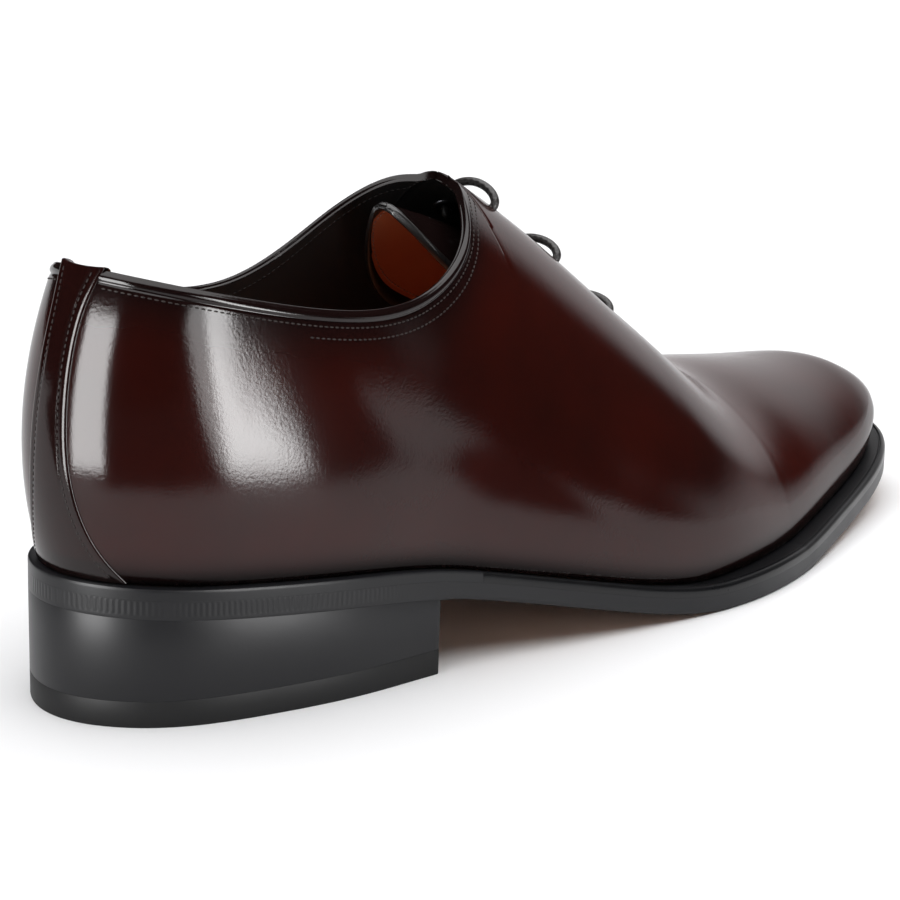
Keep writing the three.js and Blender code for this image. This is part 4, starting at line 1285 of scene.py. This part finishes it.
def plate_loops(places, profile, top_height, under_height, across=PLATE_ACROSS):
    """Closed loops of points round a plate, one for each place along it. The profile runs down
    the plate's edge as pairs of an offset from the feather line and a height."""
    edges = {}
    for side in (1, -1):
        points = []
        for offset, height in profile:
            plan = plan_point(places, side, offset(places))
            points.append(np.concatenate([plan, height(plan[:, 1])[:, None]], axis=1))
        edges[side] = np.stack(points, axis=1)

    def between(start, end, height):
        shares = np.linspace(0, 1, across + 2)[1:-1][None, :, None]
        plan = start[:, None, :2] * (1 - shares) + end[:, None, :2] * shares
        return np.concatenate([plan, height(plan[..., 1])[..., None]], axis=2)

    under_row = between(edges[1][:, -1], edges[-1][:, -1], under_height)
    top_row = between(edges[-1][:, 0], edges[1][:, 0], top_height)
    return np.concatenate([edges[1], under_row, edges[-1][:, ::-1], top_row, edges[1][:, :1]], axis=1)


def steady(value):
    return lambda y: np.full(np.shape(y), value)


def plus(function, value):
    return lambda y: function(y) + value


whole_length = stations_between(FEATHER_BACK, FEATHER_FRONT, SOLE_STATIONS)
inside_line = -(UPPER_WALL + 2 * GAP)
sock_top = plus(feather_height, INSOLE_THICKNESS)
sock_profile = (
    (steady(inside_line - 1.2 * MM), sock_top),
    (steady(inside_line - 0.5 * MM), plus(sock_top, -0.1 * MM)),
    (steady(inside_line - 0.15 * MM), plus(sock_top, -0.5 * MM)),
    (steady(inside_line), plus(sock_top, -1.2 * MM)),
    (steady(inside_line), plus(feather_height, 0.2 * MM)),
    (steady(inside_line - 0.3 * MM), feather_height),
)
sock = laid_grid("sock_leather", plate_loops(whole_length, sock_profile, sock_top, feather_height))
close_up(sock)
smooth(sock, 40)
sock.data.materials.append(tan_lining)
fitted(sock, "lining_leather", "insole")

# Outsole. Thick sole leather whose edge is stained black and hot-waxed flush with the welt, with
# a soft bevel above and below. Its tread is left natural.
RIB_PITCH = 1.3 * MM
RIB_DEPTH = 0.12 * MM
HEEL_JOIN = 82 * MM


def edge_wax(name, colour, roughness):
    material = new_material(name, colour, roughness, coat=0.14, coat_roughness=0.3, shine=0.24)
    place = add_node(material, "ShaderNodeTexCoord")
    streak = add_node(material, "ShaderNodeTexNoise", scale=90.0, detail=4.0)
    levels = add_node(material, "ShaderNodeMapRange")
    levels.inputs["To Min"].default_value = roughness - 0.07
    levels.inputs["To Max"].default_value = roughness + 0.10
    fine = add_node(material, "ShaderNodeTexNoise", scale=1400.0, detail=3.0)
    bump = add_node(material, "ShaderNodeBump", strength=0.22)
    bump.inputs["Distance"].default_value = 0.05 * MM
    shader = material.node_tree.nodes["Principled BSDF"]
    arc = add_node(material, "ShaderNodeAttribute", attribute_name="arc")
    ribbed = add_node(material, "ShaderNodeAttribute", attribute_name="ribbed")
    turns = add_node(material, "ShaderNodeMath", operation="MULTIPLY")
    turns.inputs[1].default_value = 2 * math.pi / RIB_PITCH
    ribs = add_node(material, "ShaderNodeMath", operation="SINE")
    ribs_here = add_node(material, "ShaderNodeMath", operation="MULTIPLY")
    rib_bump = add_node(material, "ShaderNodeBump", strength=0.32)
    rib_bump.inputs["Distance"].default_value = RIB_DEPTH
    join_nodes(
        material,
        (arc.outputs["Fac"], turns.inputs[0]),
        (turns.outputs[0], ribs.inputs[0]),
        (ribs.outputs[0], ribs_here.inputs[0]),
        (ribbed.outputs["Fac"], ribs_here.inputs[1]),
        (ribs_here.outputs[0], rib_bump.inputs["Height"]),
        (rib_bump.outputs["Normal"], bump.inputs["Normal"]),
        (place.outputs["Object"], streak.inputs["Vector"]),
        (place.outputs["Object"], fine.inputs["Vector"]),
        (streak.outputs["Fac"], levels.inputs["Value"]),
        (levels.outputs[0], shader.inputs["Roughness"]),
        (fine.outputs["Fac"], bump.inputs["Height"]),
        (bump.outputs["Normal"], shader.inputs["Normal"]),
    )
    return material


wax_black = edge_wax("edge_wax_black", (0.0085, 0.0085, 0.0105, 1), 0.42)
tread_leather = lining_leather("tread_leather", (0.30, 0.17, 0.11, 1), (0.44, 0.27, 0.18, 1), 0.55)


def free_edge(y):
    """Nothing over the heel, where the outsole's edge is flush with it, and one before it."""
    return np.clip((np.asarray(y, float) - HEEL_JOIN) / (3 * MM), 0, 1)


outsole_top = plus(tread_height, OUTSOLE_THICKNESS + GAP)
outsole_profile = (
    (plus(edge_reach, -0.5 * MM), outsole_top),
    (plus(edge_reach, -0.03 * MM), outsole_top),
    (edge_reach, plus(outsole_top, -0.04 * MM)),
    (edge_reach, plus(outsole_top, -0.6 * MM)),
    (edge_reach, plus(outsole_top, -1.0 * MM)),
    (edge_reach, plus(tread_height, 1.4 * MM)),
    (edge_reach, plus(tread_height, 0.75 * MM)),
    (lambda y: edge_reach(y) - 0.2 * MM * free_edge(y), plus(tread_height, 0.25 * MM)),
    (lambda y: edge_reach(y) - 0.04 * MM - 0.66 * MM * free_edge(y), tread_height),
    (plus(edge_reach, -1.4 * MM), tread_height),
)
outsole_loops = plate_loops(whole_length, outsole_profile, outsole_top, tread_height)
outsole = laid_grid("outsole_leather", outsole_loops)
loop_steps = np.linalg.norm(np.diff(outsole_loops, axis=0), axis=2)
loop_arc = np.concatenate([np.zeros((1, outsole_loops.shape[1])), np.cumsum(loop_steps, axis=0)])
rib_rows = np.zeros(outsole_loops.shape[:2])
near_heel = np.clip((HEEL_JOIN - 8 * MM - whole_length) / (10 * MM), 0, 1)
edge_count = len(outsole_profile)
last_edge = 2 * edge_count + PLATE_ACROSS - 1
for row in (3, 4, 5):
    rib_rows[:, row] = near_heel
    rib_rows[:, last_edge - row] = near_heel
for word, values in (("arc", loop_arc), ("ribbed", rib_rows)):
    set_layer(outsole, word, values)
close_up(outsole)
smooth(outsole, 35)
outsole.data.materials.append(wax_black)
outsole.data.materials.append(tread_leather)
for face in outsole.data.polygons:
    face.material_index = int(face.normal.z < -0.93)
fitted(outsole, "sole_leather", "outsole")

# Welt. A strip of leather sewn round the forepart, blacked and glazed, with a line run into its
# top just inside the edge. Under the heel its place is taken by the seat rand.
WELT_UNDERLAP = 7 * MM
RAND_END = 93 * MM
WELT_STATIONS = 260
welt_bottom = plus(tread_height, OUTSOLE_THICKNESS + GAP)


def close_ends(piece):
    """Merges the corners that meet and puts a face on each open end."""
    edit(
        piece,
        lambda: bpy.ops.mesh.remove_doubles(threshold=MERGE_WITHIN),
        lambda: bpy.ops.mesh.select_all(action="DESELECT"),
        lambda: bpy.ops.mesh.select_non_manifold(),
        lambda: bpy.ops.mesh.edge_face_add(),
        lambda: bpy.ops.mesh.select_all(action="SELECT"),
        lambda: bpy.ops.mesh.normals_make_consistent(inside=False),
    )


def edge_strip(name, places, profile):
    """A strip along the edge: from one side's places round the end and back on the other."""
    sides = []
    for side in (1, -1):
        points = []
        for offset, height in profile:
            plan = plan_point(places, side, offset(places))
            points.append(np.concatenate([plan, height(plan[:, 1])[:, None]], axis=1))
        points.append(points[0])
        sides.append(np.stack(points, axis=1))
    strip = laid_grid(name, np.concatenate([sides[0], sides[1][-2::-1]], axis=0))
    close_ends(strip)
    smooth(strip, 40)
    return strip


def welt_rise(y):
    """How far the welt stands free of the upper: nothing at the waist, all round the forepart."""
    return np.clip((np.asarray(y, float) / LENGTH - 0.42) / 0.14, 0, 1)


def groove_bottom(y):
    """The line pressed into the welt, deeper where the welt stands free."""
    return welt_top(y) - 0.05 * MM - 0.28 * MM * welt_rise(y)


welt_profile = (
    (steady(-WELT_UNDERLAP), welt_top),
    (lambda y: edge_reach(y) * 0.15 - 0.4 * MM, welt_top),
    (plus(edge_reach, -2.0 * MM), welt_top),
    (plus(edge_reach, -1.75 * MM), groove_bottom),
    (plus(edge_reach, -1.5 * MM), groove_bottom),
    (plus(edge_reach, -1.3 * MM), welt_top),
    (plus(edge_reach, -1.0 * MM), plus(welt_top, 0.02 * MM)),
    (plus(edge_reach, -0.55 * MM), plus(welt_top, -0.18 * MM)),
    (plus(edge_reach, -0.2 * MM), plus(welt_top, -0.55 * MM)),
    (plus(edge_reach, -0.02 * MM), plus(welt_top, -1.1 * MM)),
    (edge_reach, plus(welt_bottom, 0.35 * MM)),
    (edge_reach, welt_bottom),
    (steady(-WELT_UNDERLAP), welt_bottom),
)
welt = edge_strip(
    "welt_leather",
    stations_between(RAND_END + 0.05 * MM, FEATHER_FRONT, WELT_STATIONS),
    welt_profile,
)
welt.data.materials.append(edge_wax("welt_glaze", (0.006, 0.006, 0.007, 1), 0.30))
fitted(welt, "sole_leather", "welt")

# Seat rand. The strip round the heel seat, level with the heel's wall, with its rim rounded
# over. The fine upright ribs under it are in the outsole's edge wax.
RAND_STATIONS = 300
rand_profile = (
    (steady(-WELT_UNDERLAP), welt_top),
    (plus(edge_reach, -1.0 * MM), welt_top),
    (plus(edge_reach, -0.45 * MM), welt_top),
    (plus(edge_reach, -0.15 * MM), plus(welt_top, -0.12 * MM)),
    (plus(edge_reach, -0.02 * MM), plus(welt_top, -0.42 * MM)),
    (edge_reach, plus(welt_top, -0.8 * MM)),
    (edge_reach, welt_bottom),
    (steady(-WELT_UNDERLAP), welt_bottom),
)
seat_rand = edge_strip(
    "seat_rand_leather",
    stations_between(FEATHER_BACK, RAND_END, RAND_STATIONS)[::-1],
    rand_profile,
)
seat_rand.data.materials.append(wax_black)
fitted(seat_rand, "sole_leather", "seat_rand")

# Heel. Lifts of leather pressed into one block and a rubber top piece, ground to the shape of
# the seat and waxed. Its breast is a little hollow.
BREAST_AT = 81 * MM
BREAST_HOLLOW = 2 * MM
HEEL_TAPER = 0.2 * MM
TOP_PIECE_THICKNESS = 6 * MM
HEEL_STATIONS = 150
BREAST_ROUNDING = ((0.55, 0.0), (0.38, 0.05), (0.18, 0.18), (0.05, 0.36), (0.0, 0.6))


def heel_side(z):
    return lambda y: edge_reach(y) - HEEL_TAPER * (1 - z / HEEL_HEIGHT)


def heel_piece(name, top_height, under_height, top_z, under_z, bevel):
    """A lift of the heel: loops from the back to the breast, the last ones drawn in round it."""
    body = stations_between(FEATHER_BACK, BREAST_AT - BREAST_ROUNDING[0][0] * MM, HEEL_STATIONS)
    middle_side = heel_side((top_z + under_z) / 2)
    loops = []
    for places, draw in [(body, 0.0)] + [
        (np.array([BREAST_AT - back * MM]), inset * MM) for back, inset in BREAST_ROUNDING[1:]
    ]:
        top_here = plus(top_height, -draw)
        under_here = plus(under_height, draw)

        def middle_height(y, over=top_here, beneath=under_here):
            return (over(y) + beneath(y)) / 2

        profile = (
            (plus(heel_side(top_z), -draw - 2 * bevel), top_here),
            (plus(heel_side(top_z), -draw - bevel), top_here),
            (plus(heel_side(top_z), -draw - 0.3 * bevel), plus(top_here, -0.3 * bevel)),
            (plus(heel_side(top_z), -draw), plus(top_here, -bevel)),
            (plus(middle_side, -draw), middle_height),
            (plus(heel_side(under_z), -draw), plus(under_here, bevel)),
            (plus(heel_side(under_z), -draw - 0.3 * bevel), plus(under_here, 0.3 * bevel)),
            (plus(heel_side(under_z), -draw - bevel), under_here),
            (plus(heel_side(under_z), -draw - 2 * bevel), under_here),
        )
        loops.append(plate_loops(places, profile, top_here, under_here, across=14))
    rows = np.concatenate(loops, axis=0)
    left = rows[:, :9, 0].max(axis=1)[:, None]
    right = rows[:, :, 0].min(axis=1)[:, None]
    share = np.clip((rows[..., 0] - right) / np.maximum(left - right, 1e-6), 0, 1)
    near_breast = np.clip((rows[..., 1] - (BREAST_AT - 22 * MM)) / (22 * MM), 0, 1) ** 2
    rows[..., 1] -= BREAST_HOLLOW * 4 * share * (1 - share) * near_breast
    piece = laid_grid(name, rows)
    close_ends(piece)
    smooth(piece, 30)
    return piece


heel_block = heel_piece(
    "heel_lifts",
    tread_height,
    steady(TOP_PIECE_THICKNESS),
    HEEL_HEIGHT,
    TOP_PIECE_THICKNESS,
    0.08 * MM,
)
heel_block.data.materials.append(wax_black)
fitted(heel_block, "sole_leather", "heel_block")

rubber = edge_wax("top_piece_rubber", (0.0075, 0.0075, 0.008, 1), 0.50)
rubber.node_tree.nodes["Principled BSDF"].inputs["Coat Weight"].default_value = 0.0
top_piece = heel_piece(
    "top_piece_rubber",
    steady(TOP_PIECE_THICKNESS),
    steady(0.0),
    TOP_PIECE_THICKNESS,
    0.0,
    0.12 * MM,
)
top_piece.data.materials.append(rubber)
fitted(top_piece, "rubber", "top_piece")
